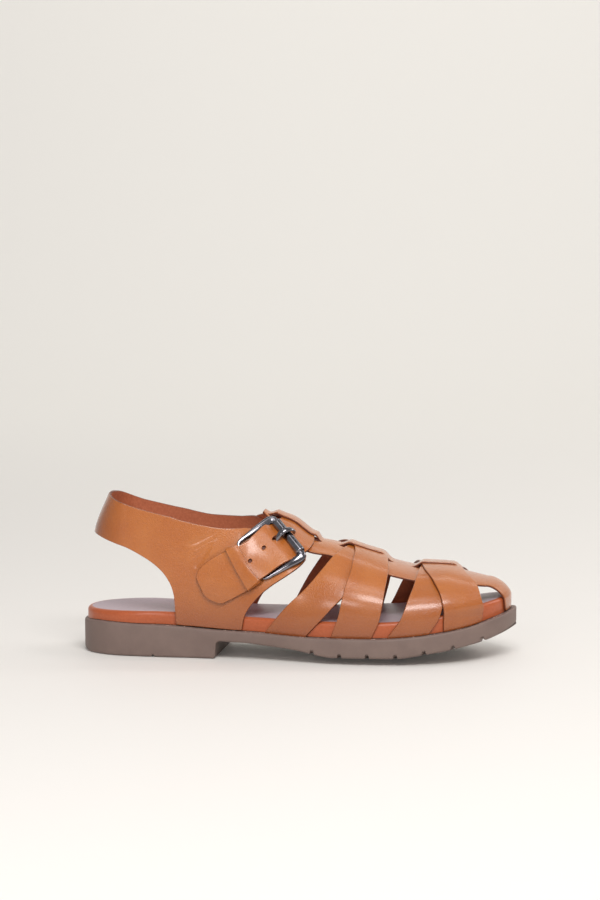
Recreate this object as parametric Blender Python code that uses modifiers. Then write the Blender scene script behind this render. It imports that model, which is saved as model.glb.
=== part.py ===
"""A right fisherman sandal: moulded sole, footbed, woven strap upper, heel sling and buckle.

The tables are in millimetres and the meshes in metres. +X is the toe, -Y the outer (lateral)
side, +Y the inner (medial) side and +Z is up, with the floor at zero. Every strap is a sheet
laid on one last, then thickened outwards to the leather's gauge.
"""
import bmesh
import bpy
import numpy as np

MM = 0.001
NAME = "fisherman_sandal"

# Overall sizes
GAP = 0.3
LEATHER = 1.8
STRAP_INSET = 4.3
STRAP_CLEAR = 0.45
FOOTBED_INSET = STRAP_INSET + GAP
WELD = 0.01
SPAN_STEPS = 24
LAT = -1.0
MED = 1.0

# Outsole outline, heel back to toe tip: outer x, outer y, inner x, inner y
OUTLINE = (
    (-131.6, 0.0, -131.6, 0.0),
    (-128.8, -12.5, -128.8, 12.5),
    (-121.0, -22.8, -121.0, 22.5),
    (-106.0, -30.2, -106.0, 29.6),
    (-82.0, -32.6, -82.0, 31.3),
    (-55.0, -33.5, -55.0, 30.2),
    (-25.0, -36.4, -25.0, 29.8),
    (5.0, -42.0, 5.0, 33.4),
    (30.0, -45.6, 30.0, 40.0),
    (52.0, -46.0, 52.0, 45.0),
    (75.0, -43.0, 75.0, 46.0),
    (97.0, -35.0, 98.0, 42.0),
    (113.5, -23.5, 114.0, 33.5),
    (125.0, -9.0, 125.2, 23.0),
    (129.4, 8.5, 129.4, 8.5),
)
ORIGIN_X = 0.5 * (OUTLINE[0][0] + OUTLINE[-1][0])

# Side levels: x, footbed top, outsole top
LEVELS = (
    (-131.0, 26.4, 18.9),
    (-118.0, 26.6, 20.2),
    (-93.0, 26.9, 19.6),
    (-70.0, 26.6, 18.9),
    (-47.0, 25.6, 17.4),
    (-20.0, 25.0, 16.6),
    (11.0, 24.6, 15.3),
    (51.0, 24.9, 15.7),
    (72.0, 26.4, 17.0),
    (91.0, 29.4, 19.4),
    (104.0, 32.4, 21.7),
    (114.0, 34.8, 24.6),
    (124.0, 36.6, 27.4),
    (131.0, 37.6, 29.8),
)

# Outsole underside: x, ground face, lift of its side edges
UNDERSIDE = (
    (-131.0, 1.6, 0.3),
    (-126.0, 0.0, 0.2),
    (-90.0, 0.0, 0.3),
    (-46.4, 0.0, 0.3),
    (-45.2, 9.3, 0.3),
    (-43.4, 10.3, 0.3),
    (-36.0, 10.1, 0.3),
    (-27.0, 9.6, 0.7),
    (-19.0, 8.3, 1.4),
    (2.0, 5.4, 2.6),
    (13.0, 2.4, 3.7),
    (25.0, 0.0, 4.6),
    (61.0, 0.0, 4.9),
    (79.0, 2.7, 4.5),
    (95.6, 5.6, 4.2),
    (110.8, 9.7, 3.6),
    (122.0, 14.4, 2.4),
    (129.4, 18.4, 1.2),
)
LUG_FIRST = 12.9
LUG_PITCH = 16.4
LUG_COUNT = 7
LUG_WIDTH = 2.8
LUG_DEPTH = 1.7
LUG_FLANKS = (-0.5, -0.36, 0.36, 0.5)

# Outsole rings from the ground face: inset, share of the width, share of the edge lift, rise
TREAD_RINGS = ((0.0, 0.24, 0.0, 0.0), (0.0, 0.65, 0.48, 0.0), (0.9, 1.0, 0.9, 0.0), (0.0, 1.0, 1.0, 0.9))

# Upper rings: inset, drop below the top
SOLE_RINGS = ((0.0, 1.2), (1.1, 0.0))
FOOTBED_RINGS = ((0.0, 2.2), (0.7, 0.6), (2.4, 0.0))

# Stations along the sole: length of the close part at each end, steps in it, steps between
END_LENGTH = 24.0
END_STEPS = 9
MIDDLE_STEPS = 27
STATION_CLEAR = 1.2

# Last sections: x, crest z, crest y, fullness
SECTIONS = (
    (-100.0, 172.0, 0.0, 2.4),
    (-80.0, 162.0, 1.0, 2.4),
    (-60.0, 143.0, 2.0, 2.3),
    (-45.0, 118.0, 3.0, 2.2),
    (-33.0, 96.0, 4.0, 2.1),
    (-27.0, 88.5, 4.5, 2.0),
    (-22.0, 84.4, 5.0, 2.0),
    (-12.0, 79.6, 6.0, 2.0),
    (-6.0, 77.4, 6.0, 2.0),
    (6.0, 69.0, 6.0, 2.0),
    (12.0, 67.2, 6.0, 2.0),
    (20.0, 65.8, 6.0, 2.0),
    (40.0, 59.2, 7.0, 2.0),
    (60.0, 53.8, 8.0, 2.0),
    (72.0, 51.4, 8.5, 2.0),
    (90.0, 50.4, 9.5, 1.95),
    (100.0, 48.2, 10.0, 1.9),
    (112.0, 45.6, 10.0, 1.8),
)
TOE_START = 112.0
TOE_BEHIND = 4.0
TOE_ARC = 26.0
TOE_FULL = 1.38
TOE_STRAIGHT = 0.37

# Heel of the last: height, back x
HEEL_BACK = ((18.0, -126.7), (45.0, -127.0), (72.0, -123.2), (94.0, -114.3), (104.0, -109.0))
HEEL_START = -100.0
HEEL_ARC = 45.0
HEEL_FULL = 2.1

# Centre strap: position along, outer edge, outer slit, inner slit, inner edge (turns round the last)
CENTRE = (
    (-22.5, 0.468, 0.482, 0.535, 0.550),
    (-20.5, 0.446, 0.462, 0.548, 0.572),
    (-17.0, 0.418, 0.447, 0.558, 0.592),
    (-6.0, 0.366, 0.440, 0.564, 0.634),
    (5.0, 0.345, 0.442, 0.562, 0.655),
    (20.0, 0.350, 0.450, 0.558, 0.652),
    (40.0, 0.342, 0.455, 0.556, 0.655),
    (60.0, 0.332, 0.455, 0.556, 0.658),
    (80.0, 0.325, 0.455, 0.556, 0.660),
    (100.0, 0.330, 0.455, 0.556, 0.662),
    (112.0, 0.330, 0.455, 0.556, 0.665),
    (138.0, 0.335, 0.455, 0.556, 0.665),
)
SLIT_WIDTH = 0.014
CENTRE_PITCH = 4.0
RAMP_SHARES = (0.0, 0.25, 0.5, 0.75, 1.0)

# Bridges of the centre strap: slit start, full height from, full height to, slit end, height
BRIDGES = (
    (-19.6, -15.2, 9.8, 14.2, 2.0 * LEATHER + STRAP_CLEAR + 2.0 * GAP),
    (23.5, 29.5, 47.0, 56.0, 3.6),
    (67.0, 74.0, 91.0, 98.0, 3.6),
)

# Cross bands: turn round the last, back edge x, front edge x
BAND_STATIONS = 31
BAND_COLUMNS = 5
BAND_A = (
    (0.0, -16.0, 9.0), (0.1, -1.5, 23.0), (0.2, 11.0, 34.5), (0.3, 19.5, 42.0), (0.4, 25.5, 48.5),
    (0.5, 29.5, 51.5), (0.6, 30.5, 52.5), (0.7, 30.0, 52.5), (0.8, 27.5, 50.5), (0.9, 23.5, 47.5),
    (1.0, 19.0, 44.0),
)
BAND_B = (
    (0.0, 24.0, 48.0), (0.1, 29.0, 53.0), (0.2, 31.5, 54.5), (0.3, 33.5, 55.0), (0.4, 33.2, 53.5),
    (0.5, 29.5, 50.0), (0.6, 22.0, 45.0), (0.7, 13.0, 38.0), (0.8, 5.0, 30.0), (0.9, -3.0, 22.0),
    (1.0, -12.0, 13.0),
)
BAND_C = (
    (0.0, 57.0, 81.0), (0.1, 65.0, 87.0), (0.2, 68.5, 89.5), (0.3, 71.0, 92.5), (0.4, 72.0, 94.5),
    (0.5, 73.0, 95.5), (0.6, 75.5, 97.5), (0.7, 78.0, 100.0), (0.8, 79.0, 101.0), (0.9, 79.0, 102.0),
    (1.0, 78.0, 102.0),
)
BAND_D = (
    (0.0, 89.0, 110.0), (0.1, 89.0, 110.5), (0.2, 87.0, 109.0), (0.3, 82.0, 106.5), (0.4, 75.5, 99.5),
    (0.5, 71.5, 95.0), (0.6, 67.5, 92.0), (0.7, 63.5, 88.5), (0.8, 58.5, 84.0), (0.9, 53.0, 78.5),
    (1.0, 46.0, 72.0),
)

# How far a band stands off the last: turn round the last, lift
UNDER_LIFT = ((0.0, 0.0), (0.27, 0.0), (0.36, 1.2), (0.64, 1.2), (0.73, 0.0), (1.0, 0.0))
OVER_LIFT = (
    (0.0, 0.0), (0.06, 0.0), (0.17, 1.3), (0.27, 1.6), (0.36, 2.4), (0.64, 2.4), (0.73, 1.6),
    (0.84, 1.3), (0.94, 0.0), (1.0, 0.0),
)

# Heel quarter: way round the heel (outer side negative), lower edge, upper edge
QUARTER_PITCH = 7.0
QUARTER_COLUMNS = 7
QUARTER = (
    (-151.5, 58.4, 60.2), (-150.0, 56.4, 61.8), (-146.0, 53.0, 64.0), (-142.5, 50.6, 66.2),
    (-130.0, 42.0, 71.0), (-121.0, 33.0, 74.2), (-116.5, 25.6, 76.0), (-114.6, 17.3, 76.4),
    (-105.0, 17.6, 76.6), (-89.0, 18.6, 79.0), (-75.2, 19.4, 82.2), (-73.6, 37.0, 82.8),
    (-71.0, 44.6, 83.6), (-65.5, 52.0, 84.8), (-56.0, 59.0, 87.0), (-41.0, 66.0, 91.0),
    (-14.0, 71.2, 94.6), (0.0, 71.8, 95.0), (14.0, 71.2, 94.2), (41.0, 66.0, 89.0),
    (56.0, 59.0, 85.6), (65.5, 52.0, 83.6), (71.0, 44.6, 82.6), (73.6, 37.0, 82.0),
    (75.2, 19.4, 81.6), (89.0, 18.6, 79.4), (105.0, 17.6, 79.0), (113.4, 17.3, 79.6),
    (115.4, 25.6, 79.4), (120.0, 33.0, 78.2), (129.0, 42.0, 75.0), (138.0, 51.0, 70.0),
    (141.5, 56.0, 66.5), (143.0, 59.6, 62.4),
)

# Buckle strap from its free tip: upper edge x and turn, lower edge x and turn
STRAP_STATIONS = 30
STRAP_COLUMNS = 7
STRAP = (
    (-57.4, 0.063, -53.6, 0.047),
    (-56.6, 0.074, -49.0, 0.042),
    (-53.5, 0.090, -43.5, 0.043),
    (-48.0, 0.116, -36.5, 0.062),
    (-41.5, 0.150, -27.5, 0.104),
    (-34.2, 0.197, -18.4, 0.149),
    (-27.3, 0.260, -10.4, 0.190),
    (-21.0, 0.330, -3.4, 0.235),
    (-15.8, 0.388, 3.4, 0.300),
    (-13.0, 0.422, 7.6, 0.348),
    (-12.0, 0.444, 9.0, 0.402),
    (-12.2, 0.480, 8.0, 0.460),
    (-13.0, 0.530, 6.6, 0.530),
    (-15.5, 0.568, 4.4, 0.590),
    (-20.5, 0.600, -0.6, 0.655),
    (-27.5, 0.662, -8.4, 0.727),
    (-35.5, 0.752, -17.2, 0.800),
    (-43.0, 0.800, -28.0, 0.862),
    (-48.0, 0.828, -35.0, 0.890),
)

# Buckle strap's height above its plain place on the quarter: distance from its tip, lift
STRAP_LIFT = ((0.0, 0.0), (20.0, 0.0), (32.0, 3.0), (37.0, 3.0), (50.0, 2.4), (60.0, 0.0), (400.0, 0.0))

# Buckle and keeper, as distances from the strap's tip
KEEPER_AT = 28.0
KEEPER_WIDTH = 7.5
HEEL_BAR_AT = 34.5
PRONG_HOLE_AT = 54.4
FAR_BAR_AT = 61.4
BAR_RADIUS = 1.3
FAR_BAR_RADIUS = 1.7
FRAME_OVERHANG = 0.085
FRAME_SQUARE = 5.0
PRONG_RADIUS = 0.9
HOLE_STEP = 10.2
HOLE_SHARE = 0.43
HOLE_RADIUS = 1.2
HOLE_SIDES = 12
PUNCH_REACH = 1.5
PRONG_SLOT = 3.4
FRAME_POINTS = 40

# Keeper across the strap: share of the width, share of the way up from the quarter
KEEPER = (
    (-0.044, 0.0), (-0.04, 0.55), (-0.02, 0.97), (0.08, 1.0), (0.3, 1.0), (0.5, 1.0), (0.7, 1.0),
    (0.92, 1.0), (1.02, 0.97), (1.04, 0.55), (1.044, 0.0),
)

# Materials: base colour, roughness, metallic
LOOKS = {
    "outsole": ((0.16, 0.11, 0.09), 0.7, 0.0),
    "insole": ((0.38, 0.16, 0.09), 0.5, 0.0),
    "upper": ((0.42, 0.17, 0.05), 0.4, 0.0),
    "heel_quarter": ((0.40, 0.16, 0.05), 0.4, 0.0),
    "buckle_strap": ((0.44, 0.18, 0.06), 0.4, 0.0),
    "keeper_loop": ((0.46, 0.19, 0.06), 0.4, 0.0),
    "buckle_frame": ((0.12, 0.12, 0.12), 0.3, 1.0),
    "buckle_prong": ((0.14, 0.14, 0.14), 0.3, 1.0),
}


def through(table, column, at):
    """Smooth curve through a table's rows that keeps between neighbouring values."""
    rows = np.asarray(table, float)
    xs = rows[:, 0]
    ys = rows[:, column]
    at = np.clip(np.asarray(at, float), xs[0], xs[-1])
    slope = np.diff(ys) / np.diff(xs)
    tangent = np.empty_like(ys)
    tangent[0] = slope[0]
    tangent[-1] = slope[-1]
    same = slope[:-1] * slope[1:] > 0.0
    total = np.where(same, slope[:-1] + slope[1:], 1.0)
    tangent[1:-1] = np.where(same, 2.0 * slope[:-1] * slope[1:] / total, 0.0)
    i = np.clip(np.searchsorted(xs, at) - 1, 0, len(xs) - 2)
    h = xs[i + 1] - xs[i]
    t = (at - xs[i]) / h
    start = (1.0 + 2.0 * t) * (1.0 - t) ** 2 * ys[i] + t * (1.0 - t) ** 2 * h * tangent[i]
    end = t * t * (3.0 - 2.0 * t) * ys[i + 1] + t * t * (t - 1.0) * h * tangent[i + 1]
    return start + end


def dense_outline():
    """Closed smooth curve through the outline: points and outward normals, heel back first."""
    rows = np.array(OUTLINE)
    ring = np.concatenate([rows[:, :2], rows[-2:0:-1, 2:]])
    count = len(ring)
    k = np.linspace(0.0, count, count * SPAN_STEPS, endpoint=False)
    i = k.astype(int)
    t = (k - i)[:, None]
    a = ring[(i - 1) % count]
    b = ring[i]
    c = ring[(i + 1) % count]
    d = ring[(i + 2) % count]
    points = 0.5 * (2.0 * b + (c - a) * t + (2.0 * a - 5.0 * b + 4.0 * c - d) * t ** 2
                    + (3.0 * b - a - 3.0 * c + d) * t ** 3)
    along = np.roll(points, -1, 0) - np.roll(points, 1, 0)
    along /= np.linalg.norm(along, axis=1, keepdims=True)
    return points, np.stack([along[:, 1], -along[:, 0]], 1), (len(rows) - 1) * SPAN_STEPS


OUTLINE_POINTS, OUTLINE_NORMALS, TOE_INDEX = dense_outline()


def half(side, inset):
    """One half of the outline, heel back to toe tip, moved in by a distance."""
    moved = OUTLINE_POINTS - inset * OUTLINE_NORMALS
    if side == LAT:
        return moved[:TOE_INDEX + 1]
    return np.concatenate([moved[:1], moved[:TOE_INDEX - 1:-1]])


def edge_y(x, inset, side):
    """y of the outline moved in by a distance, at a place along the foot."""
    line = half(side, inset)
    return np.interp(x, line[:, 0], line[:, 1])


def toe_x(y, inset):
    """x of the outline moved in by a distance, in front of the toe's start."""
    outer = half(LAT, inset)
    inner = half(MED, inset)
    outer = outer[outer[:, 0] > TOE_START - TOE_BEHIND]
    inner = inner[inner[:, 0] > TOE_START - TOE_BEHIND][::-1]
    line = np.concatenate([outer, inner[1:]])
    return np.interp(y, line[:, 1], line[:, 0])


def sole_top(x):
    """Height of the outsole's upper face."""
    return through(LEVELS, 2, x)


def footbed_top(x):
    """Height of the footbed's upper face."""
    return through(LEVELS, 1, x)


def seat(x):
    """Height of the straps' feet, clear of the outsole over the leather's whole thickness."""
    return np.maximum(sole_top(x), sole_top(x + LEATHER)) + GAP


def wall(x, rise):
    """How far out of the crest line the last stands, 1 at the feather edge, at a share of its height."""
    base = seat(x)
    crest = through(SECTIONS, 1, x)
    full = through(SECTIONS, 3, x)
    low = (footbed_top(x) - base) / (crest - base)
    r = np.clip((rise - low) / (1.0 - low), 0.0, 1.0)
    return (1.0 - r ** full) ** (1.0 / full)


def last(u, g):
    """Point of the last: u along the foot and over the toe, g round it from outer to inner edge."""
    u, g = np.broadcast_arrays(np.asarray(u, float), np.asarray(g, float))
    x = np.minimum(u, TOE_START)
    base = seat(x)
    crest = through(SECTIONS, 1, x)
    middle = through(SECTIONS, 2, x)
    turn = np.pi * np.clip(g, 0.0, 1.0)
    rise = np.sin(turn) ** (2.0 / through(SECTIONS, 3, x))
    out = wall(x, rise)
    outer = middle - (middle - edge_y(x, STRAP_INSET, LAT)) * out
    inner = middle + (edge_y(x, STRAP_INSET, MED) - middle) * out
    y = np.where(turn < 0.5 * np.pi, outer, inner)
    fan = np.clip((u - TOE_START) / TOE_ARC, 0.0, 1.0) * 0.5 * np.pi
    up = np.cos(fan) ** (2.0 / TOE_FULL)
    curved = np.maximum(rise - TOE_STRAIGHT, 1e-6)
    share = np.clip((up * rise - TOE_STRAIGHT) / curved, 0.0, 1.0)
    share = np.where(rise > TOE_STRAIGHT, share, up)
    ahead = np.where(u > TOE_START, (1.0 - share ** TOE_FULL) ** (1.0 / TOE_FULL), 0.0)
    front = toe_x(y, STRAP_INSET)
    foot = seat(front)
    x = x + ahead * (front - TOE_START)
    z = base + ahead * (foot - base) + up * rise * (crest - base)
    return np.stack([x, y, z], -1)


def heel(p, z):
    """Point of the last's back part: p round the heel, outer side negative, at a height."""
    p, z = np.broadcast_arrays(np.asarray(p, float), np.asarray(z, float))
    x = HEEL_START + np.maximum(np.abs(p) - HEEL_ARC, 0.0)
    base = seat(x)
    crest = through(SECTIONS, 1, x)
    middle = through(SECTIONS, 2, x)
    out = wall(x, np.clip((z - base) / (crest - base), 0.0, 1.0))
    outer = middle - (middle - edge_y(x, STRAP_INSET, LAT)) * out
    inner = middle + (edge_y(x, STRAP_INSET, MED) - middle) * out
    y = np.where(p < 0.0, outer, inner)
    fan = np.clip(np.abs(p) / HEEL_ARC, 0.0, 1.0) * 0.5 * np.pi
    back = np.cos(fan) ** (2.0 / HEEL_FULL)
    aside = np.sin(fan) ** (2.0 / HEEL_FULL)
    x = x + back * (through(HEEL_BACK, 1, z) - HEEL_START)
    return np.stack([x, y * aside, z], -1)


def outward(surface, a, b, step_a, step_b, low_b, high_b):
    """Unit normals of a two-way surface by differences."""
    da = surface(a + step_a, b) - surface(a - step_a, b)
    db = surface(a, np.minimum(b + step_b, high_b)) - surface(a, np.maximum(b - step_b, low_b))
    n = np.cross(da, db)
    return n / (np.linalg.norm(n, axis=-1, keepdims=True) + 1e-12)


def on_last(u, g, lift):
    """Points standing off the last by a lift."""
    u, g, lift = np.broadcast_arrays(u, g, lift)
    return last(u, g) + lift[..., None] * outward(last, u, g, 0.4, 0.004, 0.0, 1.0)


def on_heel(p, z, lift):
    """Points standing off the heel of the last by a lift."""
    p, z, lift = np.broadcast_arrays(p, z, lift)
    return heel(p, z) - lift[..., None] * outward(heel, p, z, 0.4, 0.3, 0.0, 200.0)


STRAP_MID = last(np.mean(np.array(STRAP)[:, ::2], 1), np.mean(np.array(STRAP)[:, 1::2], 1))
STRAP_WAY = np.concatenate([[0.0], np.cumsum(np.linalg.norm(np.diff(STRAP_MID, axis=0), axis=1))])
STRAP_ROWS = np.column_stack([STRAP_WAY, np.array(STRAP)])


def on_strap(s, v, lift):
    """Points by distance from the strap's tip and share of its width from the upper edge."""
    s, v, lift = np.broadcast_arrays(s, v, lift)
    u = (1.0 - v) * through(STRAP_ROWS, 1, s) + v * through(STRAP_ROWS, 3, s)
    g = (1.0 - v) * through(STRAP_ROWS, 2, s) + v * through(STRAP_ROWS, 4, s)
    return on_last(u, g, lift)


def placed(points):
    """Metre coordinates of millimetre points, with the outline centred over the origin."""
    return (np.asarray(points, float) - (ORIGIN_X, 0.0, 0.0)) * MM


def mesh_object(name, points, faces):
    """A mesh object from millimetre points."""
    mesh = bpy.data.meshes.new(name)
    mesh.from_pydata([tuple(point) for point in placed(points)], [], [tuple(face) for face in faces])
    mesh.validate()
    mesh.update()
    obj = bpy.data.objects.new(name, mesh)
    PARTS.objects.link(obj)
    return obj


def baked(obj):
    """The object with its modifiers worked into its own mesh."""
    bpy.context.view_layer.update()
    depsgraph = bpy.context.evaluated_depsgraph_get()
    mesh = bpy.data.meshes.new_from_object(obj.evaluated_get(depsgraph))
    obj.modifiers.clear()
    obj.data = mesh
    return obj


def sheet(name, grid, flip=False, holes=None):
    """A leather piece: a grid of inner-face points, thickened outwards to the leather's gauge."""
    rows, columns = grid.shape[:2]
    keep = np.ones((rows - 1, columns - 1), bool) if holes is None else ~holes
    index = np.arange(rows * columns).reshape(rows, columns)
    quads = np.stack([index[:-1, :-1], index[1:, :-1], index[1:, 1:], index[:-1, 1:]], -1)[keep]
    if flip:
        quads = quads[:, ::-1]
    obj = mesh_object(name, grid.reshape(-1, 3), quads.tolist())
    solid = obj.modifiers.new("thickness", "SOLIDIFY")
    solid.thickness = LEATHER * MM
    solid.offset = 1.0
    solid.use_even_offset = False
    return baked(obj)


def slab(name, rings):
    """A closed loft of rings from the underside up: each ring is outer-side and inner-side points."""
    stations = len(rings[0][0])
    size = 2 * stations - 2
    points = [np.concatenate([outer, inner[-2:0:-1]]) for outer, inner in rings]
    faces = []
    for k in range(len(rings) - 1):
        for i in range(size):
            j = (i + 1) % size
            faces.append((k * size + i, k * size + j, (k + 1) * size + j, (k + 1) * size + i))
    for level, turned in ((0, True), (len(rings) - 1, False)):
        start = level * size
        for i in range(stations - 1):
            outer_a = start + i
            outer_b = start + i + 1
            inner_a = start + (size - i) % size
            inner_b = start + size - i - 1
            corners = [outer_a, outer_b, inner_b, inner_a]
            corners = list(dict.fromkeys(corners))
            faces.append(tuple(corners[::-1]) if turned else tuple(corners))
    return mesh_object(name, np.concatenate(points), faces)


def ring(stations, inset, share, height):
    """Outer and inner points at the stations: moved in, or drawn to the middle by a share.

    The height is an array over the stations, or a function of the moved place along the foot.
    """
    sides = []
    for side in (LAT, MED):
        line = half(side, 0.0)
        moved = half(side, inset)
        x = np.interp(stations, line[:, 0], moved[:, 0])
        y = np.interp(stations, line[:, 0], moved[:, 1])
        sides.append([x, y])
    middle = 0.5 * (sides[0][1] + sides[1][1])
    loops = []
    for x, y in sides:
        z = height(x) if callable(height) else height
        loops.append(np.stack([x, middle + share * (y - middle), z], 1))
    return loops


def tube(name, path, radii, closed):
    """A round bar along a path, with its radius at each point."""
    curve = bpy.data.curves.new(name, "CURVE")
    curve.dimensions = "3D"
    curve.bevel_depth = MM
    curve.bevel_resolution = 2
    curve.use_fill_caps = not closed
    spline = curve.splines.new("POLY")
    spline.points.add(len(path) - 1)
    for point, place, radius in zip(spline.points, placed(path), radii):
        point.co = (*place, 1.0)
        point.radius = radius
    spline.use_cyclic_u = closed
    obj = bpy.data.objects.new(name, curve)
    PARTS.objects.link(obj)
    bpy.context.view_layer.update()
    mesh = bpy.data.meshes.new_from_object(obj.evaluated_get(bpy.context.evaluated_depsgraph_get()))
    bpy.data.objects.remove(obj)
    work = bmesh.new()
    work.from_mesh(mesh)
    bmesh.ops.remove_doubles(work, verts=work.verts, dist=WELD * MM)
    bmesh.ops.recalc_face_normals(work, faces=work.faces)
    work.to_mesh(mesh)
    work.free()
    solid = bpy.data.objects.new(name, mesh)
    PARTS.objects.link(solid)
    return solid


def joined(obj, other, operation):
    """The first object with the other joined to it or cut from it."""
    boolean = obj.modifiers.new(operation.lower(), "BOOLEAN")
    boolean.operation = operation
    boolean.solver = "EXACT"
    boolean.object = other
    baked(obj)
    bpy.data.objects.remove(other)
    return obj


def without_pockets(obj):
    """The object with the shells of sealed pockets between crossing straps filled in."""
    work = bmesh.new()
    work.from_mesh(obj.data)
    work.verts.ensure_lookup_table()
    left = set(work.faces)
    shells = []
    while left:
        shell = {left.pop()}
        edge = list(shell)
        while edge:
            face = edge.pop()
            for side in face.edges:
                for other in side.link_faces:
                    if other in left:
                        left.remove(other)
                        shell.add(other)
                        edge.append(other)
        shells.append(shell)
    largest = max(shells, key=len)
    spare = [face for shell in shells if shell is not largest for face in shell]
    bmesh.ops.delete(work, geom=spare, context="FACES")
    loose = [vertex for vertex in work.verts if not vertex.link_faces]
    bmesh.ops.delete(work, geom=loose, context="VERTS")
    work.to_mesh(obj.data)
    work.free()
    return obj


def finished(obj):
    """Gives a piece its own material."""
    colour, rough, metal = LOOKS[obj.name]
    material = bpy.data.materials.new(obj.name + "_material")
    material.use_nodes = True
    shader = material.node_tree.nodes["Principled BSDF"]
    shader.inputs["Base Color"].default_value = (*colour, 1.0)
    shader.inputs["Roughness"].default_value = rough
    shader.inputs["Metallic"].default_value = metal
    obj.data.materials.clear()
    obj.data.materials.append(material)
    return obj


def stations_along():
    """Places along the sole: close at heel and toe, and at every step of the underside."""
    turn = np.linspace(0.0, 0.5 * np.pi, END_STEPS)
    heel_end = OUTLINE[0][0] + END_LENGTH * (1.0 - np.cos(turn))
    toe_end = OUTLINE[-1][0] - END_LENGTH * (1.0 - np.cos(turn))
    middle = np.linspace(heel_end[-1], toe_end[-1], MIDDLE_STEPS)[1:-1]
    return np.sort(np.concatenate([heel_end, middle, toe_end]))


def make_outsole():
    """Unit sole with heel block, arch, toe spring and transverse lugs."""
    plain = stations_along()
    breast = [row[0] for row in UNDERSIDE[3:6]]
    lugs = LUG_FIRST + LUG_PITCH * np.arange(LUG_COUNT)
    flank = np.array(LUG_FLANKS) * LUG_WIDTH
    lug_stations = (lugs[:, None] + flank).ravel()
    special = np.concatenate([breast, lug_stations])
    plain = plain[np.abs(plain[:, None] - special).min(1) > STATION_CLEAR]
    stations = np.sort(np.concatenate([plain, special]))
    ground = through(UNDERSIDE, 1, stations)
    lift = through(UNDERSIDE, 2, stations)
    near = np.abs(stations[:, None] - lugs).min(1)
    ground = ground + np.where(near < 0.4 * LUG_WIDTH, LUG_DEPTH, 0.0)
    rings = []
    for inset, share, lifted, rise in TREAD_RINGS:
        rings.append(ring(stations, inset, share, ground + lifted * lift + rise))
    for inset, drop in SOLE_RINGS:
        rings.append(ring(stations, inset, 1.0, lambda x, drop=drop: sole_top(x) - drop))
    return slab("outsole", rings)


def make_footbed():
    """Wrapped footbed with a rounded upper edge, inside the straps' feet."""
    stations = stations_along()
    rings = [ring(stations, FOOTBED_INSET, 1.0, lambda x: sole_top(x) + GAP)]
    for inset, drop in FOOTBED_RINGS:
        rings.append(ring(stations, FOOTBED_INSET + inset, 1.0, lambda x, drop=drop: footbed_top(x) - drop))
    return slab("insole", rings)


def bridge_lift(u, inside):
    """How far the centre strap stands off: up over each bridge, between its slits."""
    lift = np.zeros(np.broadcast(u, inside).shape)
    for start, full, fade, end, height in BRIDGES:
        up = np.clip((u - start) / (full - start), 0.0, 1.0)
        down = np.clip((end - u) / (end - fade), 0.0, 1.0)
        share = np.minimum(up, down)
        lift = lift + height * share * share * (3.0 - 2.0 * share) * inside
    return lift


def make_centre():
    """Strap from instep to toe tip with three pairs of slits."""
    places = [row[0] for row in CENTRE[:3]] + [TOE_START + TOE_ARC]
    for start, full, fade, end, _height in BRIDGES:
        places += [start + share * (full - start) for share in RAMP_SHARES]
        places += [fade + share * (end - fade) for share in RAMP_SHARES]
    filler = np.arange(places[2], places[3], CENTRE_PITCH)
    filler = filler[np.abs(filler[:, None] - np.array(places)).min(1) > 0.4 * CENTRE_PITCH]
    u = np.sort(np.concatenate([places, filler]))
    u = u[np.concatenate([[True], np.diff(u) > 0.1 * CENTRE_PITCH])][:, None]
    outer, slit_a, slit_b, inner = [through(CENTRE, k, u) for k in (1, 2, 3, 4)]
    half_slit = 0.5 * SLIT_WIDTH * np.clip((slit_b - slit_a) / 0.1, 0.0, 1.0)
    columns = [outer, 0.5 * (outer + slit_a), slit_a - half_slit, slit_a + half_slit,
               slit_a + 0.33 * (slit_b - slit_a), slit_a + 0.67 * (slit_b - slit_a),
               slit_b - half_slit, slit_b + half_slit, 0.5 * (slit_b + inner), inner]
    g = np.concatenate(columns, 1)
    inside = np.array([[0, 0, 0, 1, 1, 1, 1, 0, 0, 0]], float)
    grid = on_last(u, g, bridge_lift(u, inside))
    start = BRIDGES[0][0]
    end = BRIDGES[0][3]
    rows = (u[:-1, 0] >= start - WELD) & (u[1:, 0] <= end + WELD)
    holes = np.zeros((len(u) - 1, g.shape[1] - 1), bool)
    holes[rows, 2] = True
    holes[rows, 6] = True
    return sheet("upper", grid, holes=holes)


def make_band(name, table, lifts):
    """Cross band: over the foot from the outer feather edge to the inner one."""
    g = np.linspace(0.0, 1.0, BAND_STATIONS)[:, None]
    back = through(table, 1, g)
    front = through(table, 2, g)
    u = back + np.linspace(0.0, 1.0, BAND_COLUMNS) * (front - back)
    grid = on_last(u, g + 0.0 * u, through(lifts, 1, g) + 0.0 * u)
    return sheet(name, grid, flip=True)


def make_upper():
    """Centre strap and cross bands, joined where they cross."""
    upper = make_centre()
    for name, table, lifts in (("band_a", BAND_A, UNDER_LIFT), ("band_c", BAND_C, UNDER_LIFT),
                               ("band_b", BAND_B, OVER_LIFT), ("band_d", BAND_D, OVER_LIFT)):
        joined(upper, make_band(name, table, lifts), "UNION")
    return without_pockets(upper)


def make_quarter():
    """Heel sling with a tab down to the sole on each side."""
    rows = np.array(QUARTER)
    p = [rows[0, 0]]
    for a, b in zip(rows[:-1], rows[1:]):
        steps = max(1, int(np.ceil(np.abs(b - a).max() / QUARTER_PITCH)))
        p += list(np.linspace(a[0], b[0], steps + 1)[1:])
    p = np.array(p)[:, None]
    low = np.maximum(through(QUARTER, 1, p), sole_top(HEEL_START + np.abs(p) - HEEL_ARC) + GAP)
    high = through(QUARTER, 2, p)
    z = low + np.linspace(0.0, 1.0, QUARTER_COLUMNS) * (high - low)
    return sheet("heel_quarter", on_heel(p + 0.0 * z, z, 0.0 * z), flip=True)


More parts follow.
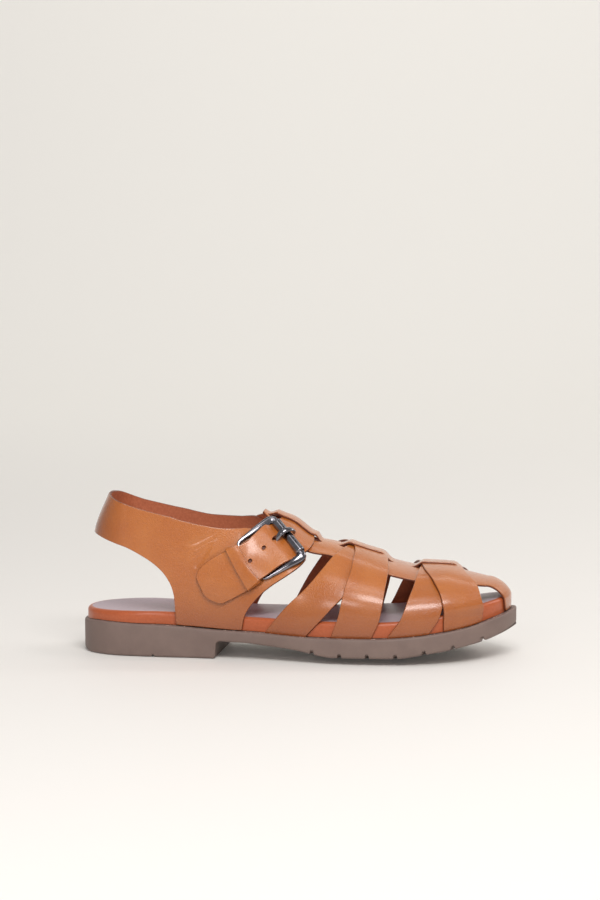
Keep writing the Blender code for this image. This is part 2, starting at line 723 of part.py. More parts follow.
def strap_inner(s):
    """How far the buckle strap's inner face stands off the last."""
    return LEATHER + STRAP_CLEAR + through(STRAP_LIFT, 1, s)


def make_strap():
    """Buckle strap from its free tip through the buckle, under the top bridge, to the inner side."""
    even = np.linspace(STRAP_WAY[4], STRAP_WAY[-1], STRAP_STATIONS)
    s = np.concatenate([STRAP_WAY[:4], even])[:, None]
    v = np.linspace(0.0, 1.0, STRAP_COLUMNS)[None, :]
    strap = sheet("buckle_strap", on_strap(s, v, strap_inner(s)), flip=True)
    for k, length in ((0, PRONG_SLOT), (1, HOLE_RADIUS), (2, HOLE_RADIUS)):
        at = PRONG_HOLE_AT - k * HOLE_STEP
        turn = np.linspace(0.0, 2.0 * np.pi, HOLE_SIDES, endpoint=False)
        across = np.linalg.norm(on_strap(at, 1.0, 0.0) - on_strap(at, 0.0, 0.0))
        level = strap_inner(at)
        s_ring = at + length * np.cos(turn)
        v_ring = HOLE_SHARE + HOLE_RADIUS / across * np.sin(turn)
        low = on_strap(s_ring, v_ring, level - PUNCH_REACH)
        high = on_strap(s_ring, v_ring, level + LEATHER + PUNCH_REACH)
        count = len(turn)
        faces = [(i, (i + 1) % count, count + (i + 1) % count, count + i) for i in range(count)]
        faces += [tuple(range(count - 1, -1, -1)), tuple(range(count, 2 * count))]
        punch = mesh_object("punch", np.concatenate([low, high]), faces)
        volume = np.linalg.det(np.stack([low[1] - low[0], low[2] - low[0], high[0] - low[0]]))
        if volume < 0.0:
            punch.data.flip_normals()
        joined(strap, punch, "DIFFERENCE")
    return strap


def make_keeper():
    """Loop that holds the strap's free end down on the quarter."""
    rows = np.array(KEEPER)
    v = rows[None, :, 0]
    share = rows[None, :, 1]
    foot = LEATHER + GAP
    s = KEEPER_AT + KEEPER_WIDTH * np.linspace(-0.5, 0.5, 3)[:, None]
    over = strap_inner(s) + LEATHER + 2.0 * GAP
    return sheet("keeper_loop", on_strap(s, v, foot + share * (over - foot)), flip=True)


def make_buckle():
    """Buckle frame: one bar over the strap, one bar under it."""
    turn = np.linspace(0.0, 2.0 * np.pi, FRAME_POINTS, endpoint=False)
    corner = 2.0 / FRAME_SQUARE
    along = np.sign(np.cos(turn)) * np.abs(np.cos(turn)) ** corner
    across = np.sign(np.sin(turn)) * np.abs(np.sin(turn)) ** corner
    s = 0.5 * (HEEL_BAR_AT + FAR_BAR_AT) + 0.5 * (FAR_BAR_AT - HEEL_BAR_AT) * along
    v = 0.5 + (0.5 + FRAME_OVERHANG) * across
    low = LEATHER + GAP + BAR_RADIUS
    high = strap_inner(FAR_BAR_AT) + LEATHER + GAP + FAR_BAR_RADIUS
    share = np.clip((s - HEEL_BAR_AT) / (FAR_BAR_AT - HEEL_BAR_AT), 0.0, 1.0)
    radii = BAR_RADIUS + share * (FAR_BAR_RADIUS - BAR_RADIUS)
    return tube("buckle_frame", on_strap(s, v, low + share * (high - low)), radii, True)


def make_prong():
    """Prong from the hidden bar up through the strap's hole, over the far bar."""
    bar = LEATHER + GAP + BAR_RADIUS
    over = strap_inner(FAR_BAR_AT) + LEATHER + 2.0 * (GAP + FAR_BAR_RADIUS) + PRONG_RADIUS
    through_hole = strap_inner(PRONG_HOLE_AT) + 0.5 * LEATHER
    path = np.array([
        (HEEL_BAR_AT + BAR_RADIUS + GAP + 0.3, bar - 0.2),
        (PRONG_HOLE_AT - 11.0, bar - 0.3),
        (PRONG_HOLE_AT - 5.0, bar - 0.3),
        (PRONG_HOLE_AT - 2.0, through_hole - 1.0),
        (PRONG_HOLE_AT + 1.0, through_hole + 1.2),
        (FAR_BAR_AT - 3.0, over - 1.3),
        (FAR_BAR_AT - 0.6, over + 0.1),
        (FAR_BAR_AT + 1.0, over),
    ])
    along = path[:, 0]
    radii = np.full(len(path), PRONG_RADIUS)
    return tube("buckle_prong", on_strap(along, HOLE_SHARE + 0.0 * along, path[:, 1]), radii, False)


for old in list(bpy.data.objects):
    bpy.data.objects.remove(old)
PARTS = bpy.data.collections.new(NAME)
bpy.context.scene.collection.children.link(PARTS)

for make in (make_outsole, make_footbed, make_upper, make_quarter, make_strap, make_keeper,
             make_buckle, make_prong):
    finished(make())
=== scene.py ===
"""Looks of the fisherman sandal: leather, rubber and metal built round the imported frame.

Lengths in the tables are millimetres. +X is the toe, -Y the outer side, +Y the inner side, +Z up.
Every leather piece is a sheet on one last: a grid of inner-face points and a grid of outer-face
points with rounded edges, closed by its cut edge.
"""
import math

import bpy
import numpy as np
from bpy.props import FloatProperty, FloatVectorProperty, PointerProperty
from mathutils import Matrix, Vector


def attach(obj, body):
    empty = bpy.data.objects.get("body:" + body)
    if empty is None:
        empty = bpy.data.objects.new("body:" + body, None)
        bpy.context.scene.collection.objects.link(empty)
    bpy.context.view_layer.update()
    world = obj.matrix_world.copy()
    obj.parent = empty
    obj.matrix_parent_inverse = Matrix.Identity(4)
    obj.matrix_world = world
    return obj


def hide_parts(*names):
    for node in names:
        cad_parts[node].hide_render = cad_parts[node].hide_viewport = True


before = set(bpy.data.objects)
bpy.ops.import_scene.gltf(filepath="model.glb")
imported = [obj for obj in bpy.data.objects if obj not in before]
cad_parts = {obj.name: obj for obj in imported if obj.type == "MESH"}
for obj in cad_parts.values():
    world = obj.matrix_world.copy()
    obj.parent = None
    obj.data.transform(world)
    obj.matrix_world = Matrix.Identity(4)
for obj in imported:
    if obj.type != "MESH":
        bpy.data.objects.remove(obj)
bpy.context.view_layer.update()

bl_info = {
    "name": "Fisherman sandal",
    "version": (1, 0, 0),
    "blender": (4, 5, 0),
    "location": "View3D > Sidebar > Sandal",
    "description": "Builds a woven leather fisherman sandal on its frame",
    "category": "Object",
}

MM = 0.001
GAP = 0.3
LEATHER = 1.8
STRAP_HIDE = 1.5
SLING_HIDE = 1.6
THIN_HIDE = 1.3
STRAP_INSET = 4.3
STRAP_CLEAR = 0.45
FOOTBED_INSET = STRAP_INSET + GAP
FOOTBED_EDGE = ((-131.6, -2.6), (-96.0, -2.4), (-76.0, 0.0), (140.0, 0.0))
SPAN_STEPS = 24
LAT = -1.0
MED = 1.0

# Outsole outline, heel back to toe tip: outer x, outer y, inner x, inner y
OUTLINE = (
    (-131.6, 0.0, -131.6, 0.0),
    (-128.8, -12.5, -128.8, 12.5),
    (-121.0, -22.8, -121.0, 22.5),
    (-106.0, -30.2, -106.0, 29.6),
    (-82.0, -32.6, -82.0, 31.3),
    (-55.0, -33.5, -55.0, 30.2),
    (-25.0, -36.4, -25.0, 29.8),
    (5.0, -42.0, 5.0, 33.4),
    (30.0, -45.6, 30.0, 40.0),
    (52.0, -46.0, 52.0, 45.0),
    (75.0, -43.0, 75.0, 46.0),
    (97.0, -35.0, 98.0, 42.0),
    (113.5, -23.5, 114.0, 33.5),
    (125.0, -9.0, 125.2, 23.0),
    (129.4, 8.5, 129.4, 8.5),
)
ORIGIN_X = 0.5 * (OUTLINE[0][0] + OUTLINE[-1][0])

# Side levels: x, footbed top, outsole top
LEVELS = (
    (-131.0, 26.4, 18.9), (-118.0, 26.6, 20.2), (-93.0, 26.9, 19.6), (-70.0, 26.6, 18.9),
    (-47.0, 25.6, 17.4), (-20.0, 25.0, 16.6), (11.0, 24.6, 15.3), (51.0, 24.9, 15.7),
    (72.0, 26.4, 17.0), (91.0, 29.4, 19.4), (104.0, 32.4, 21.7), (114.0, 34.8, 24.6),
    (124.0, 36.6, 27.4), (131.0, 37.6, 29.8),
)

# Outsole underside: x, ground face, lift of its side edges
UNDERSIDE = (
    (-131.0, 1.6, 0.3), (-126.0, 0.0, 0.2), (-90.0, 0.0, 0.3), (-47.4, 0.0, 0.3), (-46.2, 1.4, 0.3),
    (-45.6, 8.9, 0.3), (-43.4, 10.3, 0.3), (-36.0, 10.1, 0.3), (-27.0, 9.6, 0.7), (-19.0, 8.3, 1.4),
    (2.0, 5.4, 2.6), (13.0, 2.4, 3.7), (25.0, 0.0, 4.6), (61.0, 0.0, 4.9), (79.0, 2.7, 4.5),
    (95.6, 5.6, 4.2), (110.8, 9.7, 3.6), (122.0, 14.4, 2.4), (129.4, 18.4, 1.2),
)
EDGE_LIFT = ((0.0, 0.0), (0.24, 0.0), (0.65, 0.48), (1.0, 0.9))

# Grooves across the sole: x, width, depth
GROOVES = (
    (-84.0, 2.2, 0.9), (12.9, 2.8, 1.7), (29.3, 2.8, 1.7), (45.7, 2.8, 1.7), (62.1, 2.8, 1.7),
    (78.5, 2.8, 1.7), (94.9, 2.8, 1.7), (111.3, 2.8, 1.6),
)

# Last sections: x, crest z, crest y, fullness
SECTIONS = (
    (-100.0, 172.0, 0.0, 2.4), (-80.0, 162.0, 1.0, 2.4), (-60.0, 143.0, 2.0, 2.3),
    (-45.0, 118.0, 3.0, 2.2), (-33.0, 96.0, 4.0, 2.1), (-27.0, 88.5, 4.5, 2.0),
    (-22.0, 84.4, 5.0, 2.0), (-12.0, 79.6, 6.0, 2.0), (-6.0, 77.4, 6.0, 2.0), (6.0, 69.0, 6.0, 2.0),
    (12.0, 67.2, 6.0, 2.0), (20.0, 65.8, 6.0, 2.0), (40.0, 59.2, 7.0, 2.0), (60.0, 53.8, 8.0, 2.0),
    (72.0, 51.4, 8.5, 2.0), (90.0, 50.4, 9.5, 1.95), (100.0, 48.2, 10.0, 1.9),
    (112.0, 45.6, 10.0, 1.8),
)
TOE_START = 112.0
TOE_BEHIND = 4.0
TOE_ARC = 26.0
TOE_FULL = 1.38
TOE_STRAIGHT = 0.37

# Heel of the last: height, back x
HEEL_BACK = ((18.0, -126.7), (45.0, -127.0), (72.0, -123.2), (94.0, -114.3), (104.0, -109.0))
HEEL_START = -100.0
HEEL_ARC = 45.0
HEEL_FULL = 2.1

# Centre strap: position along, outer edge, outer slit, inner slit, inner edge (turns round the last)
CENTRE = (
    (-22.5, 0.452, 0.470, 0.543, 0.564), (-21.8, 0.445, 0.462, 0.547, 0.572),
    (-20.5, 0.437, 0.456, 0.551, 0.582), (-17.0, 0.418, 0.447, 0.558, 0.594),
    (-6.0, 0.366, 0.440, 0.564, 0.634), (5.0, 0.345, 0.442, 0.562, 0.655),
    (20.0, 0.350, 0.450, 0.558, 0.652), (40.0, 0.342, 0.455, 0.556, 0.655),
    (60.0, 0.332, 0.455, 0.556, 0.658), (80.0, 0.325, 0.455, 0.556, 0.660),
    (100.0, 0.330, 0.455, 0.556, 0.662), (112.0, 0.337, 0.455, 0.556, 0.665),
    (125.0, 0.358, 0.455, 0.556, 0.662), (138.0, 0.384, 0.455, 0.556, 0.655),
)

# Bridges of the centre strap: slit start, full height from, full height to, slit end, height
BRIDGES = (
    (-19.6, -15.0, 8.4, 13.4, 3.35),
    (23.5, 29.5, 47.0, 56.0, 3.75),
    (67.0, 74.0, 91.0, 98.0, 3.75),
)
SLIT_HALF = 0.75
SLIT_ROUND = 1.6

# Cross bands: turn round the last, back edge x, front edge x
BAND_A = (
    (0.0, -16.0, 9.0), (0.1, -1.5, 23.0), (0.2, 11.0, 34.5), (0.3, 19.5, 42.0), (0.4, 25.5, 48.5),
    (0.5, 29.5, 51.5), (0.6, 30.5, 52.5), (0.7, 30.0, 52.5), (0.8, 27.5, 50.5), (0.9, 23.5, 47.5),
    (1.0, 19.0, 44.0),
)
BAND_B = (
    (0.0, 24.0, 48.0), (0.1, 29.0, 53.0), (0.2, 31.5, 54.5), (0.3, 33.5, 55.0), (0.4, 33.2, 53.5),
    (0.5, 29.5, 50.0), (0.6, 22.0, 45.0), (0.7, 13.0, 38.0), (0.8, 5.0, 30.0), (0.9, -3.0, 22.0),
    (1.0, -12.0, 13.0),
)
BAND_C = (
    (0.0, 57.0, 81.0), (0.1, 65.0, 87.0), (0.2, 68.5, 89.5), (0.3, 71.0, 92.5), (0.4, 72.0, 94.5),
    (0.5, 73.0, 95.5), (0.6, 75.5, 97.5), (0.7, 78.0, 100.0), (0.8, 79.0, 101.0), (0.9, 79.0, 102.0),
    (1.0, 78.0, 102.0),
)
BAND_D = (
    (0.0, 89.0, 110.0), (0.1, 89.0, 110.5), (0.2, 87.0, 109.0), (0.3, 82.0, 106.5), (0.4, 75.5, 99.5),
    (0.5, 71.5, 95.0), (0.6, 67.5, 92.0), (0.7, 63.5, 88.5), (0.8, 58.5, 84.0), (0.9, 53.0, 78.5),
    (1.0, 46.0, 72.0),
)

# How far a band stands off the last: turn round the last, lift
UNDER_LIFT = ((0.0, 0.0), (0.27, 0.0), (0.36, 1.25), (0.64, 1.25), (0.73, 0.0), (1.0, 0.0))
OVER_LIFT = (
    (0.0, 0.0), (0.06, 0.0), (0.17, 1.7), (0.27, 2.1), (0.36, 2.5), (0.64, 2.4), (0.73, 1.8),
    (0.84, 1.5), (0.94, 0.0), (1.0, 0.0),
)

# Bands: name, edges, lift, and waves as turn, share across, depth, width and breadth
BANDS = (
    ("band_a", BAND_A, UNDER_LIFT, ((0.12, 0.3, 0.25, 0.05, 0.3), (0.3, 0.75, 0.2, 0.05, 0.25))),
    ("band_b", BAND_B, OVER_LIFT, ((0.14, 0.7, 0.25, 0.05, 0.3), (0.34, 0.2, 0.2, 0.04, 0.3))),
    ("band_c", BAND_C, UNDER_LIFT, ((0.12, 0.4, 0.2, 0.05, 0.35), (0.3, 0.6, 0.2, 0.05, 0.3))),
    ("band_d", BAND_D, OVER_LIFT, ((0.15, 0.5, 0.22, 0.05, 0.3), (0.32, 0.35, 0.18, 0.05, 0.3))),
)

# Heel quarter: way round the heel (outer side negative), lower edge, upper edge
QUARTER = (
    (-151.5, 58.4, 60.2), (-150.0, 56.4, 61.8), (-146.0, 53.0, 64.0), (-142.5, 50.6, 66.2),
    (-130.0, 42.0, 71.0), (-121.0, 33.0, 74.2), (-116.5, 25.6, 76.0), (-114.6, 17.3, 76.4),
    (-105.0, 17.6, 76.6), (-89.0, 18.6, 79.0), (-75.2, 19.4, 82.2), (-73.6, 37.0, 82.8),
    (-71.0, 44.6, 83.6), (-65.5, 52.0, 84.8), (-56.0, 59.0, 87.0), (-41.0, 66.0, 91.0),
    (-14.0, 71.2, 94.6), (0.0, 71.8, 95.0), (14.0, 71.2, 94.2), (41.0, 66.0, 89.0),
    (56.0, 59.0, 85.6), (65.5, 52.0, 83.6), (71.0, 44.6, 82.6), (73.6, 37.0, 82.0),
    (75.2, 19.4, 81.6), (89.0, 18.6, 79.4), (105.0, 17.6, 79.0), (113.4, 17.3, 79.6),
    (115.4, 25.6, 79.4), (120.0, 33.0, 78.2), (129.0, 42.0, 75.0), (138.0, 51.0, 70.0),
    (141.5, 56.0, 66.5), (143.0, 59.6, 62.4),
)

# Buckle strap from its free tip: upper edge x and turn, lower edge x and turn
STRAP = (
    (-57.4, 0.063, -53.6, 0.047), (-56.6, 0.074, -49.0, 0.042), (-53.5, 0.090, -43.5, 0.043),
    (-48.0, 0.116, -36.5, 0.062), (-41.5, 0.150, -27.5, 0.104), (-34.2, 0.197, -18.4, 0.149),
    (-27.3, 0.260, -10.4, 0.190), (-21.0, 0.330, -3.4, 0.235), (-15.8, 0.390, 3.4, 0.300),
    (-13.0, 0.422, 7.6, 0.348), (-12.0, 0.444, 9.0, 0.402), (-12.2, 0.480, 8.0, 0.460),
    (-13.0, 0.530, 6.6, 0.530), (-15.5, 0.568, 4.4, 0.590), (-20.5, 0.600, -0.6, 0.655),
    (-27.5, 0.662, -8.4, 0.727), (-35.5, 0.752, -17.2, 0.800), (-43.0, 0.800, -28.0, 0.862),
    (-48.0, 0.828, -35.0, 0.890),
)
STRAP_REST = LEATHER + STRAP_CLEAR - 0.1
STRAP_SINK = 0.6
SINK_FROM = 64.0
SINK_OVER = 10.0
STRAP_LIFT = ((0.0, 0.0), (20.0, 0.0), (32.0, 3.0), (37.0, 3.0), (50.0, 2.4), (60.0, 0.0), (400.0, 0.0))

# Buckle and keeper, as distances from the strap's tip
KEEPER_AT = 28.0
KEEPER_WIDTH = 7.5
PRONG_HOLE_AT = 53.6
HOLE_STEP = 10.2
HOLE_SHIFT = 1.2
PRONG_SLOT = 2.6
PUNCH_FROM = 0.3
PUNCH_TO = 3.5
HOLE_SHARE = 0.415
HOLE_RADIUS = 1.25
KEEPER = (
    (-0.044, 0.0), (-0.04, 0.55), (-0.02, 0.97), (0.08, 1.0), (0.5, 1.0), (0.92, 1.0), (1.02, 0.97),
    (1.04, 0.55), (1.044, 0.0),
)

# Buckle frame, heel bar then far bar: upper distance and share, lower distance and share, lift
FRAME = ((32.2, -0.07, 33.0, 1.03, 2.8), (60.2, -0.02, 60.6, 1.11, 5.4))
FRAME_CORNER = 10.0
FRAME_ARCH = 1.1
ROLLER_RADIUS = 3.0
ROLLER_ENDS = (0.1, 0.9)

# Prong: distance from the strap's tip, share across, lift, half width, half height
PRONG = (
    (38.0, 0.43, 3.4, 0.9, 0.8), (48.0, 0.45, 3.2, 0.9, 0.8), (51.6, 0.46, 3.2, 1.1, 0.8),
    (52.8, 0.47, 4.4, 1.4, 0.9), (54.2, 0.48, 6.4, 1.6, 1.0), (56.4, 0.50, 8.7, 1.7, 1.05),
    (58.8, 0.52, 9.6, 1.75, 1.05), (61.2, 0.54, 9.0, 1.75, 1.0), (62.9, 0.55, 7.2, 1.6, 0.9),
    (63.4, 0.55, 5.6, 1.3, 0.7),
)

# Creases of the quarter: start p, z, end p, z, depth, half width
CREASES = (
    (-97.5, 74.0, -86.0, 67.5, 0.5, 0.8), (-98.5, 71.5, -84.5, 63.5, 0.65, 0.9),
    (-97.5, 68.6, -84.0, 60.0, 0.7, 0.9), (-96.5, 65.6, -84.0, 57.0, 0.7, 0.95),
    (-94.5, 62.6, -84.5, 54.6, 0.6, 0.9), (-92.5, 60.0, -86.0, 53.4, 0.5, 0.8),
    (-91.0, 71.5, -82.0, 66.5, 0.35, 0.7),
)

# Camera: degrees round and up, metres away, millimetres of lens, and a shift in picture pixels
VIEW_AZIMUTH = 8.0
VIEW_ELEVATION = 8.0
VIEW_DISTANCE = 1.5
VIEW_TARGET = (0.0011, 0.0, 0.045)
LENS = 99.9
SENSOR = 36.0
PICTURE_HEIGHT = 900.0
PICTURE_SHIFT = 127.5

# Floor sweep: flat as far as its front and back, then a bend up to a wall, in metres
SWEEP_FRONT = -6.0
SWEEP_BACK = 2.0
SWEEP_BEND = 1.5
SWEEP_WIDTH = 12.0
SWEEP_WALL = 4.0

# Softboxes: name, place, aim, width, height, tint, with places and sizes in metres
SOFTBOXES = (
    ("key_softbox", (0.42, -1.16, 1.28), (0.0, 0.0, 0.04), 0.95, 0.5, (1.0, 0.98, 0.98)),
    ("rim_softbox", (1.25, 0.55, 1.0), (0.08, 0.0, 0.05), 0.9, 0.5, (1.0, 0.96, 0.97)),
    ("upper_softbox", (0.13, -0.48, 1.36), (0.0, 0.0, 0.05), 0.7, 0.35, (1.0, 0.98, 0.98)),
    ("low_softbox", (-0.33, -1.54, 0.66), (-0.02, 0.0, 0.05), 0.5, 0.3, (1.0, 0.96, 0.97)),
    ("wall_wash", (0.0, 1.5, 2.5), (0.0, 3.5, 0.8), 3.5, 0.6, (1.0, 0.99, 0.97)),
)

# Colours of the finishes, sRGB; the deeper tan and the cut edge also carry painted shade, the footbed a
# painted reflection
HEX = {
    "tan": "#ba651a",
    "tan_light": "#c57228",
    # Deeper tan: a fine random mottle, and also the painted shade low on the shoe and round the heel
    "tan_deep_and_shade": "#8a3f0a",
    # Cut edge: the edges' own dark colour, deepened as painted shade for the shadow lines beside overlapping
    # edges
    "cut_edge": "#5c2712",
    "edge_light": "#763a1f",
    "lining": "#c06f4a",
    "lining_deep": "#ab5c3a",
    "rubber": "#75625a",
    "rubber_light": "#8a766d",
    "wrap": "#bd6239",
    "wrap_deep": "#b0572f",
    # Footbed top: its own pale grey-lilac, lightened as a painted reflection of the pale room seen at a
    # grazing angle
    "footbed": "#b19ea6",
    "footbed_light": "#bba9b1",
    "metal": "#7a787d",
    "metal_light": "#a5a2a8",
    "floor": "#efece6",
    "cement": "#f0d5c4",
}


def linear(code):
    """Linear colour of an sRGB hex value."""
    parts = [int(code[k:k + 2], 16) / 255.0 for k in (1, 3, 5)]
    return tuple(c / 12.92 if c <= 0.04045 else ((c + 0.055) / 1.055) ** 2.4 for c in parts)


def through(table, column, at):
    """Monotone cubic through a table's rows: Hermite pieces with harmonic-mean slopes."""
    rows = np.asarray(table, float)
    xs = rows[:, 0]
    ys = rows[:, column]
    at = np.clip(np.asarray(at, float), xs[0], xs[-1])
    slope = np.diff(ys) / np.diff(xs)
    tangent = np.empty_like(ys)
    tangent[0] = slope[0]
    tangent[-1] = slope[-1]
    same = slope[:-1] * slope[1:] > 0.0
    total = np.where(same, slope[:-1] + slope[1:], 1.0)
    tangent[1:-1] = np.where(same, 2.0 * slope[:-1] * slope[1:] / total, 0.0)
    i = np.clip(np.searchsorted(xs, at) - 1, 0, len(xs) - 2)
    h = xs[i + 1] - xs[i]
    t = (at - xs[i]) / h
    start = (1.0 + 2.0 * t) * (1.0 - t) ** 2 * ys[i] + t * (1.0 - t) ** 2 * h * tangent[i]
    end = t * t * (3.0 - 2.0 * t) * ys[i + 1] + t * t * (t - 1.0) * h * tangent[i + 1]
    return start + end


def ease(share):
    """Smooth ramp from 0 to 1: three times the square less twice the cube."""
    share = np.clip(share, 0.0, 1.0)
    return share * share * (3.0 - 2.0 * share)


def between(first, second, share):
    """Straight line from one value to another at a share of the way."""
    return (1.0 - share) * first + share * second


def bent(value, power):
    """Power of a value's size with the value's own sign, as in a superellipse."""
    return np.sign(value) * np.abs(value) ** power


def unit(vectors):
    """Vectors at unit length."""
    return vectors / (np.linalg.norm(vectors, axis=-1, keepdims=True) + 1e-12)


def quads(rows, columns, closed_rows=False, closed_columns=True):
    """Faces of a grid of points, closed across its last row or column where it is a ring."""
    i = np.arange(rows if closed_rows else rows - 1)[:, None]
    j = np.arange(columns if closed_columns else columns - 1)[None, :]
    k = (i + 1) % rows
    m = (j + 1) % columns
    return np.stack([i * columns + j, i * columns + m, k * columns + m, k * columns + j], -1).reshape(-1, 4)


def dense_outline():
    """Catmull-Rom curve through the closed outline, with outward normals, heel back first."""
    rows = np.array(OUTLINE)
    ring = np.concatenate([rows[:, :2], rows[-2:0:-1, 2:]])
    count = len(ring)
    k = np.linspace(0.0, count, count * SPAN_STEPS, endpoint=False)
    i = k.astype(int)
    t = (k - i)[:, None]
    a = ring[(i - 1) % count]
    b = ring[i]
    c = ring[(i + 1) % count]
    d = ring[(i + 2) % count]
    points = 0.5 * (2.0 * b + (c - a) * t + (2.0 * a - 5.0 * b + 4.0 * c - d) * t ** 2
                    + (3.0 * b - a - 3.0 * c + d) * t ** 3)
    along = np.roll(points, -1, 0) - np.roll(points, 1, 0)
    along /= np.linalg.norm(along, axis=1, keepdims=True)
    return points, np.stack([along[:, 1], -along[:, 0]], 1), (len(rows) - 1) * SPAN_STEPS


OUTLINE_POINTS, OUTLINE_NORMALS, TOE_INDEX = dense_outline()


def half(side, inset):
    """One half of the outline, heel back to toe tip, moved in by a distance."""
    moved = OUTLINE_POINTS - inset * OUTLINE_NORMALS
    if side == LAT:
        return moved[:TOE_INDEX + 1]
    return np.concatenate([moved[:1], moved[:TOE_INDEX - 1:-1]])


def edge_y(x, inset, side):
    """y of the outline moved in by a distance, at a place along the foot."""
    line = half(side, inset)
    return np.interp(x, line[:, 0], line[:, 1])


def toe_x(y, inset):
    """x of the outline moved in by a distance, in front of the toe's start."""
    outer = half(LAT, inset)
    inner = half(MED, inset)
    outer = outer[outer[:, 0] > TOE_START - TOE_BEHIND]
    inner = inner[inner[:, 0] > TOE_START - TOE_BEHIND][::-1]
    line = np.concatenate([outer, inner[1:]])
    return np.interp(y, line[:, 1], line[:, 0])


def sole_top(x):
    """Height of the outsole's upper face."""
    return through(LEVELS, 2, x)


def footbed_top(x):
    """Height of the footbed's upper face."""
    return through(LEVELS, 1, x)


def seat(x):
    """Height of the straps' feet, clear of the outsole over the leather's whole thickness."""
    return np.maximum(sole_top(x), sole_top(x + LEATHER)) + GAP


def wall(x, rise):
    """Share of the way out from the crest line at a share of the height: a superellipse quarter."""
    base = seat(x)
    crest = through(SECTIONS, 1, x)
    full = through(SECTIONS, 3, x)
    low = (footbed_top(x) - base) / (crest - base)
    r = np.clip((rise - low) / (1.0 - low), 0.0, 1.0)
    return (1.0 - r ** full) ** (1.0 / full)


def sides_at(x, out):
    """y of the last's outer and inner side, at a share of the way out from the crest line."""
    middle = through(SECTIONS, 2, x)
    outer = middle - (middle - edge_y(x, STRAP_INSET, LAT)) * out
    return outer, middle + (edge_y(x, STRAP_INSET, MED) - middle) * out


def last(u, g):
    """Last: u runs along the foot and over the toe, g round it; each section is two superellipse quarters."""
    u, g = np.broadcast_arrays(np.asarray(u, float), np.asarray(g, float))
    x = np.minimum(u, TOE_START)
    base = seat(x)
    crest = through(SECTIONS, 1, x)
    turn = np.pi * np.clip(g, 0.0, 1.0)
    rise = np.sin(turn) ** (2.0 / through(SECTIONS, 3, x))
    y = np.where(turn < 0.5 * np.pi, *sides_at(x, wall(x, rise)))
    fan = np.clip((u - TOE_START) / TOE_ARC, 0.0, 1.0) * 0.5 * np.pi
    up = np.cos(fan) ** (2.0 / TOE_FULL)
    curved = np.maximum(rise - TOE_STRAIGHT, 1e-6)
    share = np.clip((up * rise - TOE_STRAIGHT) / curved, 0.0, 1.0)
    share = np.where(rise > TOE_STRAIGHT, share, up)
    ahead = np.where(u > TOE_START, (1.0 - share ** TOE_FULL) ** (1.0 / TOE_FULL), 0.0)
    front = toe_x(y, STRAP_INSET)
    foot = seat(front)
    x = x + ahead * (front - TOE_START)
    z = base + ahead * (foot - base) + up * rise * (crest - base)
    return np.stack([x, y, z], -1)


def heel(p, z):
    """Back of the last: p runs round the heel, outer side negative, z is the height."""
    p, z = np.broadcast_arrays(np.asarray(p, float), np.asarray(z, float))
    x = HEEL_START + np.maximum(np.abs(p) - HEEL_ARC, 0.0)
    base = seat(x)
    crest = through(SECTIONS, 1, x)
    out = wall(x, np.clip((z - base) / (crest - base), 0.0, 1.0))
    y = np.where(p < 0.0, *sides_at(x, out))
    fan = np.clip(np.abs(p) / HEEL_ARC, 0.0, 1.0) * 0.5 * np.pi
    back = np.cos(fan) ** (2.0 / HEEL_FULL)
    aside = np.sin(fan) ** (2.0 / HEEL_FULL)
    x = x + back * (through(HEEL_BACK, 1, z) - HEEL_START)
    return np.stack([x, y * aside, z], -1)


def outward(surface, a, b, step_a, step_b, low_b, high_b):
    """Unit normals of a two-way surface by differences."""
    da = surface(a + step_a, b) - surface(a - step_a, b)
    db = surface(a, np.minimum(b + step_b, high_b)) - surface(a, np.maximum(b - step_b, low_b))
    return unit(np.cross(da, db))


def on_last(u, g, lift):
    """Points standing off the last by a lift along its normal."""
    u, g, lift = np.broadcast_arrays(u, g, lift)
    return last(u, g) + lift[..., None] * outward(last, u, g, 0.4, 0.004, 0.0, 1.0)


def on_heel(p, z, lift):
    """Points standing off the heel of the last by a lift along its normal."""
    p, z, lift = np.broadcast_arrays(p, z, lift)
    return heel(p, z) - lift[..., None] * outward(heel, p, z, 0.4, 0.3, 0.0, 200.0)


STRAP_MID = last(np.mean(np.array(STRAP)[:, ::2], 1), np.mean(np.array(STRAP)[:, 1::2], 1))
STRAP_WAY = np.concatenate([[0.0], np.cumsum(np.linalg.norm(np.diff(STRAP_MID, axis=0), axis=1))])
STRAP_ROWS = np.column_stack([STRAP_WAY, np.array(STRAP)])


def on_strap(s, v, lift):
    """Points by distance from the strap's tip and share of its width from the upper edge."""
    s, v, lift = np.broadcast_arrays(s, v, lift)
    u = between(through(STRAP_ROWS, 1, s), through(STRAP_ROWS, 3, s), v)
    g = between(through(STRAP_ROWS, 2, s), through(STRAP_ROWS, 4, s), v)
    return on_last(u, g, lift)


def strap_inner(s):
    """How far the buckle strap's inner face stands off the last."""
    sunk = ease((np.asarray(s, float) - SINK_FROM) / SINK_OVER)
    return STRAP_REST - STRAP_SINK * sunk + through(STRAP_LIFT, 1, s)


def placed(points):
    """Metre coordinates of millimetre points, with the outline centred over the origin."""
    return (np.asarray(points, float) - (ORIGIN_X, 0.0, 0.0)) * MM


def mesh_piece(name, points, faces, materials, slots=None, layers=None):
    """A smooth mesh object from millimetre points, with float layers on its points."""
    mesh = bpy.data.meshes.new(name)
    mesh.from_pydata(placed(points), [], faces)
    for material in materials:
        mesh.materials.append(material)
    if slots is not None:
        mesh.polygons.foreach_set("material_index", np.asarray(slots, np.int32))
    for layer, values in (layers or {}).items():
        attribute = mesh.attributes.new(layer, "FLOAT", "POINT")
        attribute.data.foreach_set("value", np.asarray(values, np.float32).ravel())
    mesh.validate()
    mesh.shade_smooth()
    mesh.set_sharp_from_angle(angle=math.radians(50.0))
    obj = bpy.data.objects.new(name, mesh)
    bpy.context.scene.collection.objects.link(obj)
    return obj


def kept(obj, part):
    """Rides the piece on the frame's root body and hides its CAD part."""
    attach(obj, "root")
    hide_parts(part)
    return obj


EDGE_STEPS = np.array([0.0, 0.1, 0.25, 0.5, 0.9])


